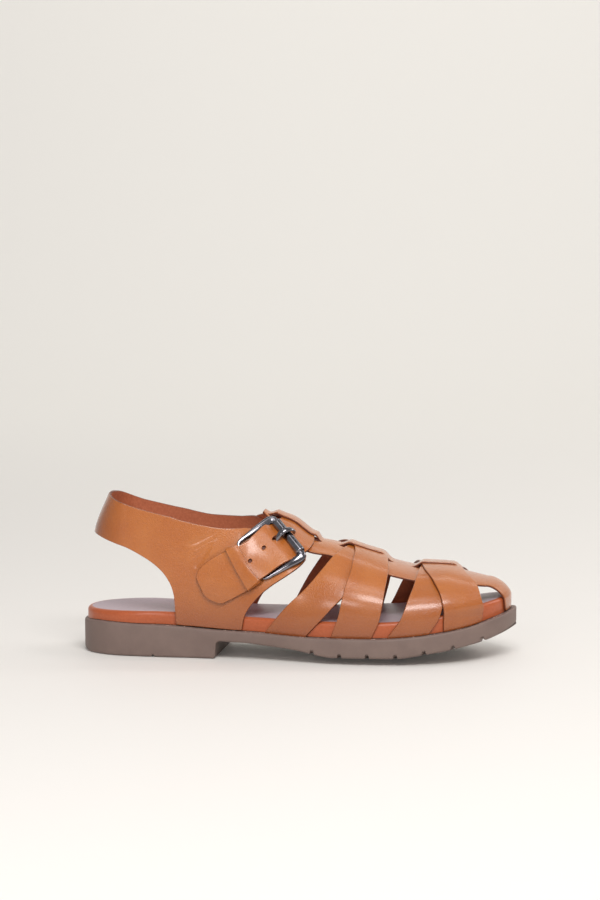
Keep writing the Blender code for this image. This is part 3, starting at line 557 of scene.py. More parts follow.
def spread(width, count):
    """Shares across a width: close together at both edges, even between them."""
    near = EDGE_STEPS / width
    inner = np.linspace(0.0, 1.0, count)[1:-1]
    middle = near[..., -1:] + inner * (1.0 - 2.0 * near[..., -1:])
    return np.concatenate([near, middle, 1.0 - near[..., ::-1]], -1)


def rim_distance(points, rim):
    """Distance of each point of a grid to the nearest point of the rim."""
    flat = points.reshape(-1, 3)
    best = np.full(len(flat), 1e9)
    for start in range(0, len(rim), 200):
        block = rim[start:start + 200]
        away = ((flat[:, None, :] - block[None, :, :]) ** 2).sum(-1).min(1)
        best = np.minimum(best, away)
    return np.sqrt(best).reshape(points.shape[:2])


def cut_leather(name, surface, low, thick, materials, flip=False, keep=None, bumps=0.0, radius=0.4):
    """A closed sheet: inner face at a lift, outer face a thickness above it, walls at every cut edge.

    The outer face falls as a quarter circle of the given radius towards the nearest cut edge.
    """
    inner = surface(low)
    rows, columns = inner.shape[:2]
    if keep is None:
        keep = np.ones((rows - 1, columns - 1), bool)
    index = np.arange(rows * columns).reshape(rows, columns)
    a = index[:-1, :-1]
    b = index[1:, :-1]
    c = index[1:, 1:]
    d = index[:-1, 1:]
    padded = np.pad(keep, 1)
    borders = (
        (a, b, padded[1:-1, :-2]), (b, c, padded[2:, 1:-1]),
        (c, d, padded[1:-1, 2:]), (d, a, padded[:-2, 1:-1]),
    )
    count = rows * columns
    rims = []
    for first, second, beyond in borders:
        open_edge = keep & ~beyond
        p = first[open_edge]
        q = second[open_edge]
        rims.append(np.stack([q + count, p + count, p, q], -1))
    rims = np.concatenate(rims)
    used = np.unique(rims[:, 2:])
    away = rim_distance(inner, inner.reshape(-1, 3)[used])
    fall = radius - np.sqrt(np.maximum(radius ** 2 - np.maximum(radius - away, 0.0) ** 2, 0.0))
    outer = surface(low + thick - fall + bumps * np.clip(away / 2.5, 0.0, 1.0))
    faces = np.concatenate([
        np.stack([a, b, c, d], -1)[keep] + count, np.stack([d, c, b, a], -1)[keep], rims,
    ])
    slots = np.repeat([0, 1, 2], [keep.sum(), keep.sum(), len(rims)])
    if flip:
        faces = faces[:, ::-1]
    points = np.concatenate([inner.reshape(-1, 3), outer.reshape(-1, 3)])
    layers = {"edge": np.tile(away.ravel(), 2)}
    return mesh_piece(name, points, faces, materials, slots, layers)


def tube_piece(name, path, across, up, half_width, half_height, materials, closed, sides, square):
    """A bar: a superellipse of half width and half height carried along a path."""
    turn = np.linspace(0.0, 2.0 * np.pi, sides, endpoint=False)
    c = bent(np.cos(turn), 2.0 / square)
    s = bent(np.sin(turn), 2.0 / square)
    rings = (path[:, None] + across[:, None] * (half_width[:, None] * c)[..., None]
             + up[:, None] * (half_height[:, None] * s)[..., None])
    count = len(path)
    faces = quads(count, sides, closed).tolist()
    if not closed:
        faces.append(list(range(sides - 1, -1, -1)))
        faces.append([(count - 1) * sides + n for n in range(sides)])
    return facing_out(mesh_piece(name, rings.reshape(-1, 3), faces, materials))


def facing_out(obj):
    """Turns a closed mesh's faces outwards when its signed volume is negative."""
    mesh = obj.data
    mesh.calc_loop_triangles()
    points = np.empty(len(mesh.vertices) * 3)
    mesh.vertices.foreach_get("co", points)
    corners = np.empty(len(mesh.loop_triangles) * 3, np.int32)
    mesh.loop_triangles.foreach_get("vertices", corners)
    p = points.reshape(-1, 3)[corners.reshape(-1, 3)]
    volume = (p[:, 0] * np.cross(p[:, 1], p[:, 2])).sum()
    if volume < 0.0:
        mesh.flip_normals()
    return obj


def node(tree, kind, settings=None, links=None):
    """Adds a shader node with its settings (sockets by name, the rest as properties) and its links."""
    made = tree.nodes.new(kind)
    for key, value in (settings or {}).items():
        if key in made.inputs:
            made.inputs[key].default_value = value
        else:
            setattr(made, key, value)
    for key, source in (links or {}).items():
        tree.links.new(source, made.inputs[key])
    return made


def colour(name):
    """Linear RGBA of a named tone."""
    return (*linear(HEX[name]), 1.0)


def base_material(name):
    """A new material with an empty tree, its shader, its output and its Object coordinates."""
    material = bpy.data.materials.new(name)
    material.use_nodes = True
    tree = material.node_tree
    shader = tree.nodes["Principled BSDF"]
    place = node(tree, "ShaderNodeTexCoord").outputs["Object"]
    return material, tree, shader, place


def ramp(tree, value, low, high, first, second):
    """Maps a value's range to a range of numbers."""
    made = node(tree, "ShaderNodeMapRange", {
        "From Min": low, "From Max": high, "To Min": first, "To Max": second,
    }, {"Value": value})
    return made.outputs["Result"]


def feed(tree, socket, value):
    """Links a socket to another one, or sets it to a plain value."""
    if isinstance(value, bpy.types.NodeSocket):
        tree.links.new(value, socket)
    else:
        socket.default_value = value


def mixed(tree, share, first, second):
    """Mixes two colours, each a socket or a colour value."""
    made = tree.nodes.new("ShaderNodeMix")
    made.data_type = "RGBA"
    for socket, value in ((made.inputs["Factor"], share), (made.inputs[6], first), (made.inputs[7], second)):
        feed(tree, socket, value)
    return made.outputs[2]


def times(tree, first, second, operation="MULTIPLY"):
    """One arithmetic step on two values."""
    made = node(tree, "ShaderNodeMath", {"operation": operation})
    feed(tree, made.inputs[0], first)
    feed(tree, made.inputs[1], second)
    return made.outputs[0]


def noise(tree, place, scale, detail, rough=0.5):
    """Soft noise of about that many cells a metre."""
    settings = {"Scale": scale, "Detail": detail, "Roughness": rough}
    return node(tree, "ShaderNodeTexNoise", settings, {"Vector": place}).outputs["Fac"]


def bumped(tree, shader, height, strength, distance):
    """Tilts the shader's normal by a height field, in metres."""
    bump = node(tree, "ShaderNodeBump", {"Strength": strength, "Distance": distance}, {"Height": height})
    tree.links.new(bump.outputs["Normal"], shader.inputs["Normal"])


def cowhide(name, tones, rough, grain, burnish_and_shade):
    """Pigmented full-grain cowhide with a waxed finish: a warm tan that shifts in soft patches.

    Its pores are near 0.7 mm across, and they break the sheen into specks. Painted shade darkens it low
    on the shoe and round the back of the heel. Over half a millimetre at the cut edges it is darker: partly
    the edges' own burnished colour, partly painted shade for the dark shadow lines beside the edges.
    """
    material, tree, shader, place = base_material(name)
    patches = noise(tree, place, 38.0, 3.0)
    tint = mixed(tree, ramp(tree, patches, 0.35, 0.65, 0.0, 1.0), colour(tones[0]), colour(tones[1]))
    fine = noise(tree, place, 900.0, 2.0)
    tint = mixed(tree, ramp(tree, fine, 0.3, 0.7, 0.0, 0.16), tint, colour(tones[2]))
    edge = node(tree, "ShaderNodeAttribute", {"attribute_name": "edge"}).outputs["Fac"]
    parts = node(tree, "ShaderNodeSeparateXYZ", {}, {"Vector": place})
    # Painted shade: darker towards the sole and round the back of the heel, where the light falls off
    foot = ramp(tree, parts.outputs["Z"], 0.016, 0.048, 0.8, 0.0)
    back = ramp(tree, parts.outputs["X"], -0.13, -0.096, 1.0, 0.0)
    tint = mixed(tree, times(tree, foot, back, "MAXIMUM"), tint, colour(tones[2]))
    # Darker rim at the cut edges: partly their own burnished colour, partly painted shade for the shadow
    # lines beside them
    rimmed = times(tree, ramp(tree, edge, 0.1, 0.55, 1.0, 0.0), burnish_and_shade)
    tint = mixed(tree, rimmed, tint, colour("cut_edge"))
    tree.links.new(tint, shader.inputs["Base Color"])
    pores = node(tree, "ShaderNodeTexVoronoi", {"Scale": 1500.0, "Randomness": 1.0}, {"Vector": place})
    wide = noise(tree, place, 800.0, 3.0, 0.6)
    height = times(tree, pores.outputs["Distance"], times(tree, wide, 0.9), "ADD")
    bumped(tree, shader, height, grain, 0.00021)
    gloss = ramp(tree, patches, 0.3, 0.7, rough - 0.05, rough + 0.06)
    tree.links.new(gloss, shader.inputs["Roughness"])
    shader.inputs["IOR"].default_value = 1.5
    shader.inputs["Specular IOR Level"].default_value = 0.5
    shader.inputs["Coat Weight"].default_value = 1.0
    shader.inputs["Coat Roughness"].default_value = 0.21
    return material


def plain_leather(name, tone, second, rough):
    """Unglazed leather, such as a lining or a cut edge: a fibrous mottle near 1 mm."""
    material, tree, shader, place = base_material(name)
    fibre = noise(tree, place, 700.0, 4.0, 0.65)
    tint = mixed(tree, ramp(tree, fibre, 0.3, 0.7, 0.0, 1.0), colour(tone), colour(second))
    tree.links.new(tint, shader.inputs["Base Color"])
    bumped(tree, shader, fibre, 0.35, 0.0002)
    shader.inputs["Roughness"].default_value = rough
    return material


def moulded_rubber(name):
    """Moulded rubber: matte grey-brown, scuffed paler, with a fine mould grain.

    The ledge beside the leather holds pale flecks of dried cement, about 1 mm across.
    """
    material, tree, shader, place = base_material(name)
    cloud = noise(tree, place, 60.0, 4.0, 0.6)
    tint = mixed(tree, ramp(tree, cloud, 0.35, 0.7, 0.1, 0.6), colour("rubber"), colour("rubber_light"))
    ledge = node(tree, "ShaderNodeAttribute", {"attribute_name": "ledge"}).outputs["Fac"]
    flecks = noise(tree, place, 560.0, 2.0)
    pale = times(tree, ramp(tree, flecks, 0.6, 0.66, 0.0, 0.85), ledge)
    tint = mixed(tree, pale, tint, colour("cement"))
    tree.links.new(tint, shader.inputs["Base Color"])
    bumped(tree, shader, noise(tree, place, 1500.0, 3.0, 0.7), 0.4, 0.0002)
    gloss = ramp(tree, cloud, 0.3, 0.7, 0.5, 0.66)
    tree.links.new(gloss, shader.inputs["Roughness"])
    return material


def plated_metal(name):
    """Polished gunmetal plate over zinc: dark grey with bright streaks and faint waviness."""
    material, tree, shader, place = base_material(name)
    wear = noise(tree, place, 180.0, 3.0, 0.5)
    tint = mixed(tree, ramp(tree, wear, 0.35, 0.7, 0.0, 0.6), colour("metal"), colour("metal_light"))
    tree.links.new(tint, shader.inputs["Base Color"])
    bumped(tree, shader, wear, 0.06, 0.0003)
    gloss = ramp(tree, wear, 0.3, 0.7, 0.1, 0.2)
    tree.links.new(gloss, shader.inputs["Roughness"])
    shader.inputs["Metallic"].default_value = 1.0
    return material


MATERIALS = {}


def finish(name):
    """The shared finishes, each made once."""
    if not MATERIALS:
        MATERIALS["outer"] = cowhide("waxed_cowhide", ("tan", "tan_light", "tan_deep_and_shade"), 0.35, 0.85, 0.32)
        MATERIALS["lining"] = plain_leather("unglazed_lining", "lining", "lining_deep", 0.62)
        # Cut edge walls: their own dark colour, deepened as painted shade
        MATERIALS["edge"] = plain_leather("burnished_cut_edge", "cut_edge", "edge_light", 0.5)
        MATERIALS["rubber"] = moulded_rubber("moulded_rubber")
        MATERIALS["wrap"] = plain_leather("footbed_wrap", "wrap", "wrap_deep", 0.34)
        # Footbed top: its own colour together with a painted reflection of the pale room
        MATERIALS["footbed"] = plain_leather("microfibre_footbed", "footbed", "footbed_light", 0.42)
        MATERIALS["metal"] = plated_metal("gunmetal_plate")
    return MATERIALS[name]


def hide():
    """Outer face, inner face and cut edge of a strap."""
    return [finish("outer"), finish("lining"), finish("edge")]


def long_stations(steps, close):
    """Places along the sole: cosine-close at heel and toe, even between, and at every close edge."""
    turn = np.linspace(0.0, 0.5 * np.pi, 30)
    reach = 26.0
    heel_end = OUTLINE[0][0] + reach * (1.0 - np.cos(turn))
    toe_end = OUTLINE[-1][0] - reach * (1.0 - np.cos(turn))
    even = np.linspace(heel_end[-1], toe_end[-1], steps)[1:-1]
    return np.unique(np.round(np.concatenate([heel_end, even, toe_end, close]), 4))


def section_ring(stations, inset, share, height):
    """Points at the stations on both sides: moved in by an inset and drawn to the middle by a share."""
    sides = []
    for side in (LAT, MED):
        line = half(side, 0.0)
        moved = half(side, 1.0) - line
        amount = inset(stations) if callable(inset) else inset
        x = stations + amount * np.interp(stations, line[:, 0], moved[:, 0])
        y = np.interp(stations, line[:, 0], line[:, 1])
        y = y + amount * np.interp(stations, line[:, 0], moved[:, 1])
        sides.append((x, y))
    middle = 0.5 * (sides[0][1] + sides[1][1])
    return [np.stack([x, middle + share * (y - middle), height(x)], -1) for x, y in sides]


def carried_section(name, stations, profile, materials, slot_of, layer=None):
    """A closed body: a half profile of (inset, share, height function) mirrored and carried along."""
    outer = []
    inner = []
    for inset, share, height in profile:
        lateral, medial = section_ring(stations, inset, share, height)
        outer.append(lateral)
        inner.append(medial)
    loop = np.stack(outer + inner[::-1], 1)
    rows, columns = loop.shape[:2]
    steps = len(profile)
    band = np.concatenate([np.arange(steps), np.arange(steps)[::-1]])
    slots = np.array([slot_of(min(band[k], band[(k + 1) % columns]), steps) for k in range(columns)])
    slots = np.broadcast_to(slots, (rows - 1, columns)).ravel()
    layers = None
    if layer:
        values = np.array([layer[1](k, steps) for k in band], float)
        layers = {layer[0]: np.broadcast_to(values, (rows, columns))}
    faces = quads(rows, columns)
    return facing_out(mesh_piece(name, loop.reshape(-1, 3), faces, materials, slots, layers))


def groove_depth(x):
    """Depth of the grooves across the sole: trapezoids with soft shoulders."""
    depth = np.zeros(np.shape(x))
    for at, width, deep in GROOVES:
        away = np.abs(x - at)
        depth = np.maximum(depth, deep * ease((0.5 * width - away) / (0.22 * width)))
    return depth


def make_outsole():
    """Unit sole: ground face with grooves, rounded foot edge, side wall and the ledge of the upper."""
    close = []
    for at, width, _deep in GROOVES:
        close.append(at + width * np.linspace(-0.62, 0.62, 13))
    close.append(np.linspace(-48.0, -42.0, 25))
    stations = long_stations(260, np.concatenate(close))

    def under(share, rise=0.0):
        spread_lift = through(EDGE_LIFT, 1, share)

        def height(x):
            ground = through(UNDERSIDE, 1, x) + groove_depth(x) * (1.0 if rise < 1.2 else 0.0)
            return ground + spread_lift * through(UNDERSIDE, 2, x) + rise
        return height

    profile = [(0.0, share, under(share)) for share in (0.0, 0.12, 0.24, 0.38, 0.52, 0.65, 0.78, 0.9)]
    profile += [(1.3, 1.0, under(0.97)), (0.7, 1.0, under(1.0, 0.12)), (0.25, 1.0, under(1.0, 0.45))]
    profile += [(0.0, 1.0, under(1.0, 1.0)), (0.0, 1.0, under(1.0, 1.9))]
    for drop, inset in ((5.0, 0.0), (3.0, 0.0), (1.3, 0.0), (0.6, 0.15), (0.2, 0.45), (0.0, 0.95)):
        profile.append((inset, 1.0, lambda x, drop=drop: np.maximum(
            sole_top(x) - drop, through(UNDERSIDE, 1, x) + through(UNDERSIDE, 2, x) + 2.0)))
    for inset, share in ((2.2, 1.0), (3.6, 1.0), (5.0, 1.0), (5.0, 0.5), (5.0, 0.0)):
        profile.append((inset, share, sole_top))
    obj = carried_section("outsole_shell", stations, profile, [finish("rubber")], lambda k, n: 0,
                          ("ledge", lambda k, n: 1.0 if k >= n - 5 else 0.0))
    return kept(obj, "outsole")


def dish(x):
    """Footbed's hollow down the middle: deepest under the heel and the ball."""
    under_heel = 1.6 * np.exp(-((x + 92.0) / 26.0) ** 2)
    under_ball = 0.9 * np.exp(-((x - 50.0) / 34.0) ** 2)
    return under_heel + under_ball


def make_footbed():
    """Wrapped footbed: upright side, round shoulder, and a softly dished top."""
    stations = long_stations(200, [])

    def inside(more):
        return lambda x: FOOTBED_INSET + more + through(FOOTBED_EDGE, 1, x)

    profile = [(inside(0.2), 0.0, lambda x: sole_top(x) + GAP)]
    profile += [(inside(0.0), 1.0, lambda x: sole_top(x) + GAP)]
    shoulder = ((0.0, 3.6), (0.0, 2.4), (0.15, 1.6), (0.5, 0.9), (1.1, 0.35), (1.8, 0.08), (2.6, 0.0))
    for inset, drop in shoulder:
        profile.append((inside(inset), 1.0, lambda x, drop=drop: footbed_top(x) - drop))
    for share, deep in ((0.9, 0.12), (0.75, 0.45), (0.5, 0.85), (0.25, 1.0), (0.0, 1.0)):
        profile.append((inside(2.6), share, lambda x, deep=deep: footbed_top(x) - deep * dish(x)))
    obj = carried_section("footbed_body", stations, profile, [finish("wrap"), finish("footbed")],
                          lambda k, n: 1 if k >= n - 6 else 0)
    return kept(obj, "insole")


def bridge_lift(u, inside):
    """How far the centre strap stands off: smooth ramps up to each bridge and down again."""
    lift = np.zeros(np.broadcast(u, inside).shape)
    for start, full, fade, end, height in BRIDGES:
        up = (u - start) / (full - start)
        down = (end - u) / (end - fade)
        lift = lift + height * ease(np.minimum(up, down)) * inside
    return lift


def slit_open(u):
    """Half opening of the slits: round ends, and an even gap between them."""
    opening = np.full(np.shape(u), 0.05)
    for start, _full, _fade, end, _height in BRIDGES:
        reach = np.clip(np.minimum(u - start, end - u) / SLIT_ROUND, 0.0, 1.0)
        opening = np.maximum(opening, SLIT_HALF * np.sqrt(reach * (2.0 - reach)))
    return opening


def make_centre():
    """Centre strap: side parts on the last and a middle part that bridges each pair of bands."""
    places = [row[0] for row in CENTRE[:4]] + [CENTRE[-1][0]]
    u = np.concatenate([np.linspace(CENTRE[0][0], -19.6, 14), np.arange(-19.2, 138.0, 0.62), [138.0]])
    u = np.unique(np.round(np.concatenate([u, places, [b[0] for b in BRIDGES], [b[3] for b in BRIDGES]]), 3))
    u = u[np.concatenate([[True], np.diff(u) > 0.08])][:, None]
    outer, slit_a, slit_b, inner = [through(CENTRE, k, u) for k in (1, 2, 3, 4)]
    turn_length = np.linalg.norm(last(u, 0.52) - last(u, 0.48), axis=-1) / 0.04
    side_length = np.linalg.norm(last(u, 0.42) - last(u, 0.38), axis=-1) / 0.04
    opening = slit_open(u) / turn_length
    columns = []
    inside = []
    parts = (
        (outer, slit_a - opening, 7, side_length, 0),
        (slit_a + opening, slit_b - opening, 11, turn_length, 1),
        (slit_b + opening, inner, 7, side_length, 0),
    )
    for left, right, count, scale, middle in parts:
        width = np.maximum((right - left) * scale, 2.6)
        share = spread(width, count)
        columns.append(left + share * (right - left))
        inside.append(np.full(share.shape[1], float(middle)))
    g = np.concatenate(columns, 1)
    inside = np.concatenate(inside)[None, :]
    keep = np.ones((len(u) - 1, g.shape[1] - 1), bool)
    first = columns[0].shape[1] - 1
    second = first + columns[1].shape[1]
    for start, _full, _fade, end, _height in BRIDGES:
        rows = (u[:-1, 0] >= start - 0.01) & (u[1:, 0] <= end + 0.01)
        keep[rows, first] = False
        keep[rows, second] = False
    lift = bridge_lift(u, inside)

    def surface(level):
        return on_last(u, g, level)
    obj = cut_leather("centre_strap", surface, lift, THIN_HIDE, hide(), keep=keep)
    return kept(obj, "upper")


def make_band(name, table, lifts, waves):
    """Cross band over the foot between its feather edges, with soft waves where it is pulled tight."""
    foot = np.linspace(0.0, 0.03, 5)[:-1]
    g = np.concatenate([foot, np.linspace(0.03, 0.97, 190), np.linspace(0.97, 1.0, 5)[1:]])[:, None]
    back = through(table, 1, g)
    front = through(table, 2, g)
    u = back + spread(front - back, 16) * (front - back)
    share = (u - back) / (front - back)
    low = through(lifts, 1, g) + 0.0 * u
    bumps = 0.18 * np.sin(np.pi * share)
    for at, across, deep, wide, broad in waves:
        bumps = bumps - deep * np.exp(-((g - at) / wide) ** 2 - ((share - across) / broad) ** 2)
    feet = np.where((g < 1e-6) | (g > 1.0 - 1e-6), GAP, 0.0)

    def surface(level):
        points = on_last(u, g + 0.0 * u, level)
        points[..., 2] -= feet
        return points
    obj = cut_leather(name, surface, low, STRAP_HIDE, hide(), flip=True, bumps=bumps)
    return kept(obj, "upper")


def make_quarter():
    """Heel sling with a tab down to the sole on each side, creased where the foot flexes it."""
    rows = np.array(QUARTER)
    p = [rows[:1, 0]]
    for a, b in zip(rows[:-1], rows[1:]):
        steps = max(2, int(np.ceil(np.abs(b - a).max() / 0.75)))
        p.append(np.linspace(a[0], b[0], steps + 1)[1:])
    p = np.concatenate(p)[:, None]
    low = np.maximum(through(QUARTER, 1, p), sole_top(HEEL_START + np.abs(p) - HEEL_ARC))
    high = through(QUARTER, 2, p)
    z = low + spread(np.maximum(high - low, 2.4), 64) * (high - low)
    away = p + 0.0 * z
    bumps = np.zeros(z.shape)
    for p0, z0, p1, z1, deep, wide in CREASES:
        along = np.array([p1 - p0, z1 - z0])
        length = np.linalg.norm(along)
        t = ((away - p0) * along[0] + (z - z0) * along[1]) / length ** 2
        off = np.abs((away - p0) * along[1] - (z - z0) * along[0]) / length
        ends = np.exp(-(np.maximum(np.abs(t - 0.5) - 0.3, 0.0) / 0.16) ** 2)
        bumps = bumps - deep * np.exp(-(off / wide) ** 2) * ends

    def surface(level):
        return on_heel(away, z, level)
    obj = cut_leather("heel_sling", surface, 0.0 * z, SLING_HIDE, hide(), flip=True, bumps=bumps)
    return kept(obj, "heel_quarter")


def make_strap():
    """Buckle strap from its free tip through the buckle, under the top bridge, to the inner side."""
    tip = np.linspace(0.0, STRAP_WAY[3], 26)
    s = np.concatenate([tip, np.linspace(STRAP_WAY[3], STRAP_WAY[-1], 230)[1:]])[:, None]
    width = np.linalg.norm(on_strap(s, 1.0, 0.0) - on_strap(s, 0.0, 0.0), axis=-1)
    v = spread(width, 18)
    low = strap_inner(s) + 0.0 * v
    bumps = 0.15 * np.sin(np.pi * v)

    def surface(level):
        return on_strap(s, v, level)
    obj = cut_leather("closing_strap", surface, low, STRAP_HIDE, hide(), flip=True, bumps=bumps)
    turn = np.linspace(0.0, 2.0 * np.pi, 20, endpoint=False)
    for k, length in ((0, PRONG_SLOT), (1, HOLE_RADIUS), (2, HOLE_RADIUS)):
        at = PRONG_HOLE_AT - k * HOLE_STEP + (HOLE_SHIFT if k else 0.0)
        across = np.linalg.norm(on_strap(at, 1.0, 0.0) - on_strap(at, 0.0, 0.0))
        s_ring = at + length * np.cos(turn)
        v_ring = HOLE_SHARE + HOLE_RADIUS / across * np.sin(turn)
        level = strap_inner(at)
        rings = np.concatenate([on_strap(s_ring, v_ring, level + reach) for reach in (PUNCH_FROM, PUNCH_TO)])
        count = len(turn)
        faces = quads(2, count).tolist()
        faces += [list(range(count - 1, -1, -1)), list(range(count, 2 * count))]
        punch = facing_out(mesh_piece("punch", rings, faces, [finish("edge")]))
        cut = obj.modifiers.new("punch", "BOOLEAN")
        cut.operation = "DIFFERENCE"
        cut.solver = "EXACT"
        cut.material_mode = "TRANSFER"
        cut.object = punch
        bpy.context.view_layer.update()
        mesh = bpy.data.meshes.new_from_object(obj.evaluated_get(bpy.context.evaluated_depsgraph_get()))
        obj.modifiers.clear()
        obj.data = mesh
        bpy.data.objects.remove(punch)
    return kept(obj, "buckle_strap")


def make_keeper():
    """Loop that holds the free end: its inner face follows a table across the strap."""
    rows = np.array(KEEPER)
    t = np.linspace(0.0, 1.0, 70)
    knots = np.linspace(0.0, 1.0, len(rows))
    v = np.interp(t, knots, rows[:, 0])[None, :]
    share = np.interp(t, knots, rows[:, 1])[None, :]
    s = KEEPER_AT + KEEPER_WIDTH * (spread(np.array([[KEEPER_WIDTH]]), 8)[0] - 0.5)[:, None]
    foot = LEATHER + GAP
    over = strap_inner(s) + LEATHER + 0.25
    low = foot + share * (over - foot)

    def surface(level):
        return on_strap(s + 0.0 * v, v + 0.0 * s, level)
    obj = cut_leather("keeper_band", surface, low, THIN_HIDE, hide(), flip=True)
    return kept(obj, "keeper_loop")


def make_buckle():
    """Frame with arms that swell towards the far corners, and a roller on the far bar."""
    turn = np.linspace(0.0, 2.0 * np.pi, 320, endpoint=False)
    power = 2.0 / FRAME_CORNER
    far = (0.5 + 0.5 * bent(np.cos(turn), power))[:, None]
    side = (0.5 + 0.5 * bent(np.sin(turn), power))[:, None]
    corners = [[on_strap(a, high_share, level), on_strap(b, low_share, level)]
               for a, high_share, b, low_share, level in FRAME]
    centre = between(between(*corners[0], side), between(*corners[1], side), far)
    up = unit(np.cross(corners[1][0] - corners[0][0], corners[0][1] - corners[0][0]))
    up = up * np.sign(-up[1])
    centre = centre + up * FRAME_ARCH * np.sin(np.pi * far) * (1.0 - np.sin(np.pi * np.clip(side, 0.0, 1.0)))
    tangent = unit(np.roll(centre, -1, 0) - np.roll(centre, 1, 0))
    across = unit(np.cross(tangent, up))
    arm = np.clip(far[:, 0], 0.0, 1.0)
    flank = np.abs(2.0 * side[:, 0] - 1.0) ** 3
    wide = 1.0 + flank * 1.35 * arm + 0.5 * arm
    high = 1.0 + 0.75 * arm
    metal = [finish("metal")]
    obj = tube_piece("buckle_rim", centre, across, unit(np.cross(across, tangent)), wide, high,
                     metal, True, 28, 2.6)
    kept(obj, "buckle_frame")
    along = np.linspace(ROLLER_ENDS[0], ROLLER_ENDS[1], 60)
    share = along[:, None]
    centre = between(*corners[1], share) + 0.3 * up
    tangent = unit(np.gradient(centre, axis=0))
    across = unit(np.cross(tangent, up))
    ends = np.clip(np.minimum(along - ROLLER_ENDS[0], ROLLER_ENDS[1] - along) / 0.02, 0.0, 1.0)
    radius = ROLLER_RADIUS * (0.8 + 0.2 * np.sqrt(ends))
    obj = tube_piece("buckle_roller", centre, across, unit(np.cross(across, tangent)), radius, radius,
                     metal, False, 28, 2.0)
    kept(obj, "buckle_frame")


def make_prong():
    """Prong: out of the strap's hole, over the roller, with a flattened tip that hooks down."""
    k = np.linspace(0.0, len(PRONG) - 1.0, 80)
    keys = np.column_stack([np.arange(len(PRONG)), PRONG])
    s, v, level, wide, high = [through(keys, column, k) for column in (1, 2, 3, 4, 5)]
    centre = on_strap(s, v, level)
    side = unit(on_strap(s, v + 0.03, level) - on_strap(s, v - 0.03, level))
    tangent = unit(np.gradient(centre, axis=0))
    up = unit(np.cross(side, tangent))
    obj = tube_piece("buckle_tongue", centre, side, up, wide, high, [finish("metal")], False, 24, 2.2)
    return kept(obj, "buckle_prong")


def light_power(label, watts):
    """A property for one softbox's power."""
    return FloatProperty(name=label, description="Power of this softbox", default=watts, unit="POWER")


class SandalSettings(bpy.types.PropertyGroup):
    """Lights and colours that a user would change."""
    key_softbox: light_power("Key light", 17.5)
    rim_softbox: light_power("Rim light behind the toe", 6.0)
    upper_softbox: light_power("Upper light", 1.5)
    low_softbox: light_power("Low front light", 2.8)
    wall_wash: light_power("Wall light", 40.0)
    room_light: FloatProperty(name="Room light", description="Strength of the even light", default=0.33)
    room_colour: FloatVectorProperty(
        name="Room colour", description="Colour of the even light", subtype="COLOR", size=3,
        default=(0.93, 0.93, 0.96), min=0.0, max=1.0)
    floor_glow: FloatProperty(name="Floor glow", description="Light through the pale sweep", default=0.05)
    floor_colour: FloatVectorProperty(
        name="Floor colour", description="Colour of the plain floor", subtype="COLOR", size=3,
        default=linear(HEX["floor"]), min=0.0, max=1.0)


class SANDAL_OT_outsole(bpy.types.Operator):
    """Builds the moulded outsole"""
    bl_idname = "sandal.outsole"
    bl_label = "Outsole"

    def execute(self, context):
        make_outsole()
        return {"FINISHED"}


class SANDAL_OT_footbed(bpy.types.Operator):
    """Builds the wrapped footbed"""
    bl_idname = "sandal.footbed"
    bl_label = "Footbed"

    def execute(self, context):
        make_footbed()
        return {"FINISHED"}


class SANDAL_OT_cage(bpy.types.Operator):
    """Builds the centre strap and the four cross bands"""
    bl_idname = "sandal.cage"
    bl_label = "Woven cage"

    def execute(self, context):
        make_centre()
        for name, edges, lifts, waves in BANDS:
            make_band(name, edges, lifts, waves)
        return {"FINISHED"}


class SANDAL_OT_sling(bpy.types.Operator):
    """Builds the heel sling"""
    bl_idname = "sandal.sling"
    bl_label = "Heel sling"

    def execute(self, context):
        make_quarter()
        return {"FINISHED"}


class SANDAL_OT_closing(bpy.types.Operator):
    """Builds the buckle strap and its keeper"""
    bl_idname = "sandal.closing"
    bl_label = "Closing strap"

    def execute(self, context):
        make_strap()
        make_keeper()
        return {"FINISHED"}


class SANDAL_OT_buckle(bpy.types.Operator):
    """Builds the buckle's rim, roller and tongue"""
    bl_idname = "sandal.buckle"
    bl_label = "Buckle"

    def execute(self, context):
        make_buckle()
        make_prong()
        return {"FINISHED"}


def softbox(name, place, aim, width, height, tint, power):
    """An area light facing a point."""
    lamp = bpy.data.lights.new(name, "AREA")
    lamp.shape = "RECTANGLE"
    lamp.size = width
    lamp.size_y = height
    lamp.energy = power
    lamp.color = tint
    obj = bpy.data.objects.new(name, lamp)
    obj.location = place
    obj.rotation_euler = (Vector(aim) - Vector(place)).to_track_quat("-Z", "Y").to_euler()
    bpy.context.scene.collection.objects.link(obj)
    return obj


def photo_camera():
    """A long lens from the outer side, shifted so that the shoe stands low in the picture."""
    azimuth = math.radians(VIEW_AZIMUTH)
    elevation = math.radians(VIEW_ELEVATION)
    back = Vector((math.sin(azimuth) * math.cos(elevation), -math.cos(azimuth) * math.cos(elevation),
                   math.sin(elevation)))
    lens = bpy.data.cameras.new("camera")
    lens.sensor_fit = "VERTICAL"
    lens.sensor_height = SENSOR
    lens.lens = LENS
    lens.shift_y = PICTURE_SHIFT / PICTURE_HEIGHT
    lens.clip_start = 0.05
    camera = bpy.data.objects.new("camera", lens)
    camera.location = Vector(VIEW_TARGET) + back * VIEW_DISTANCE
    camera.rotation_euler = back.to_track_quat("Z", "Y").to_euler()
    bpy.context.scene.collection.objects.link(camera)
    bpy.context.scene.camera = camera


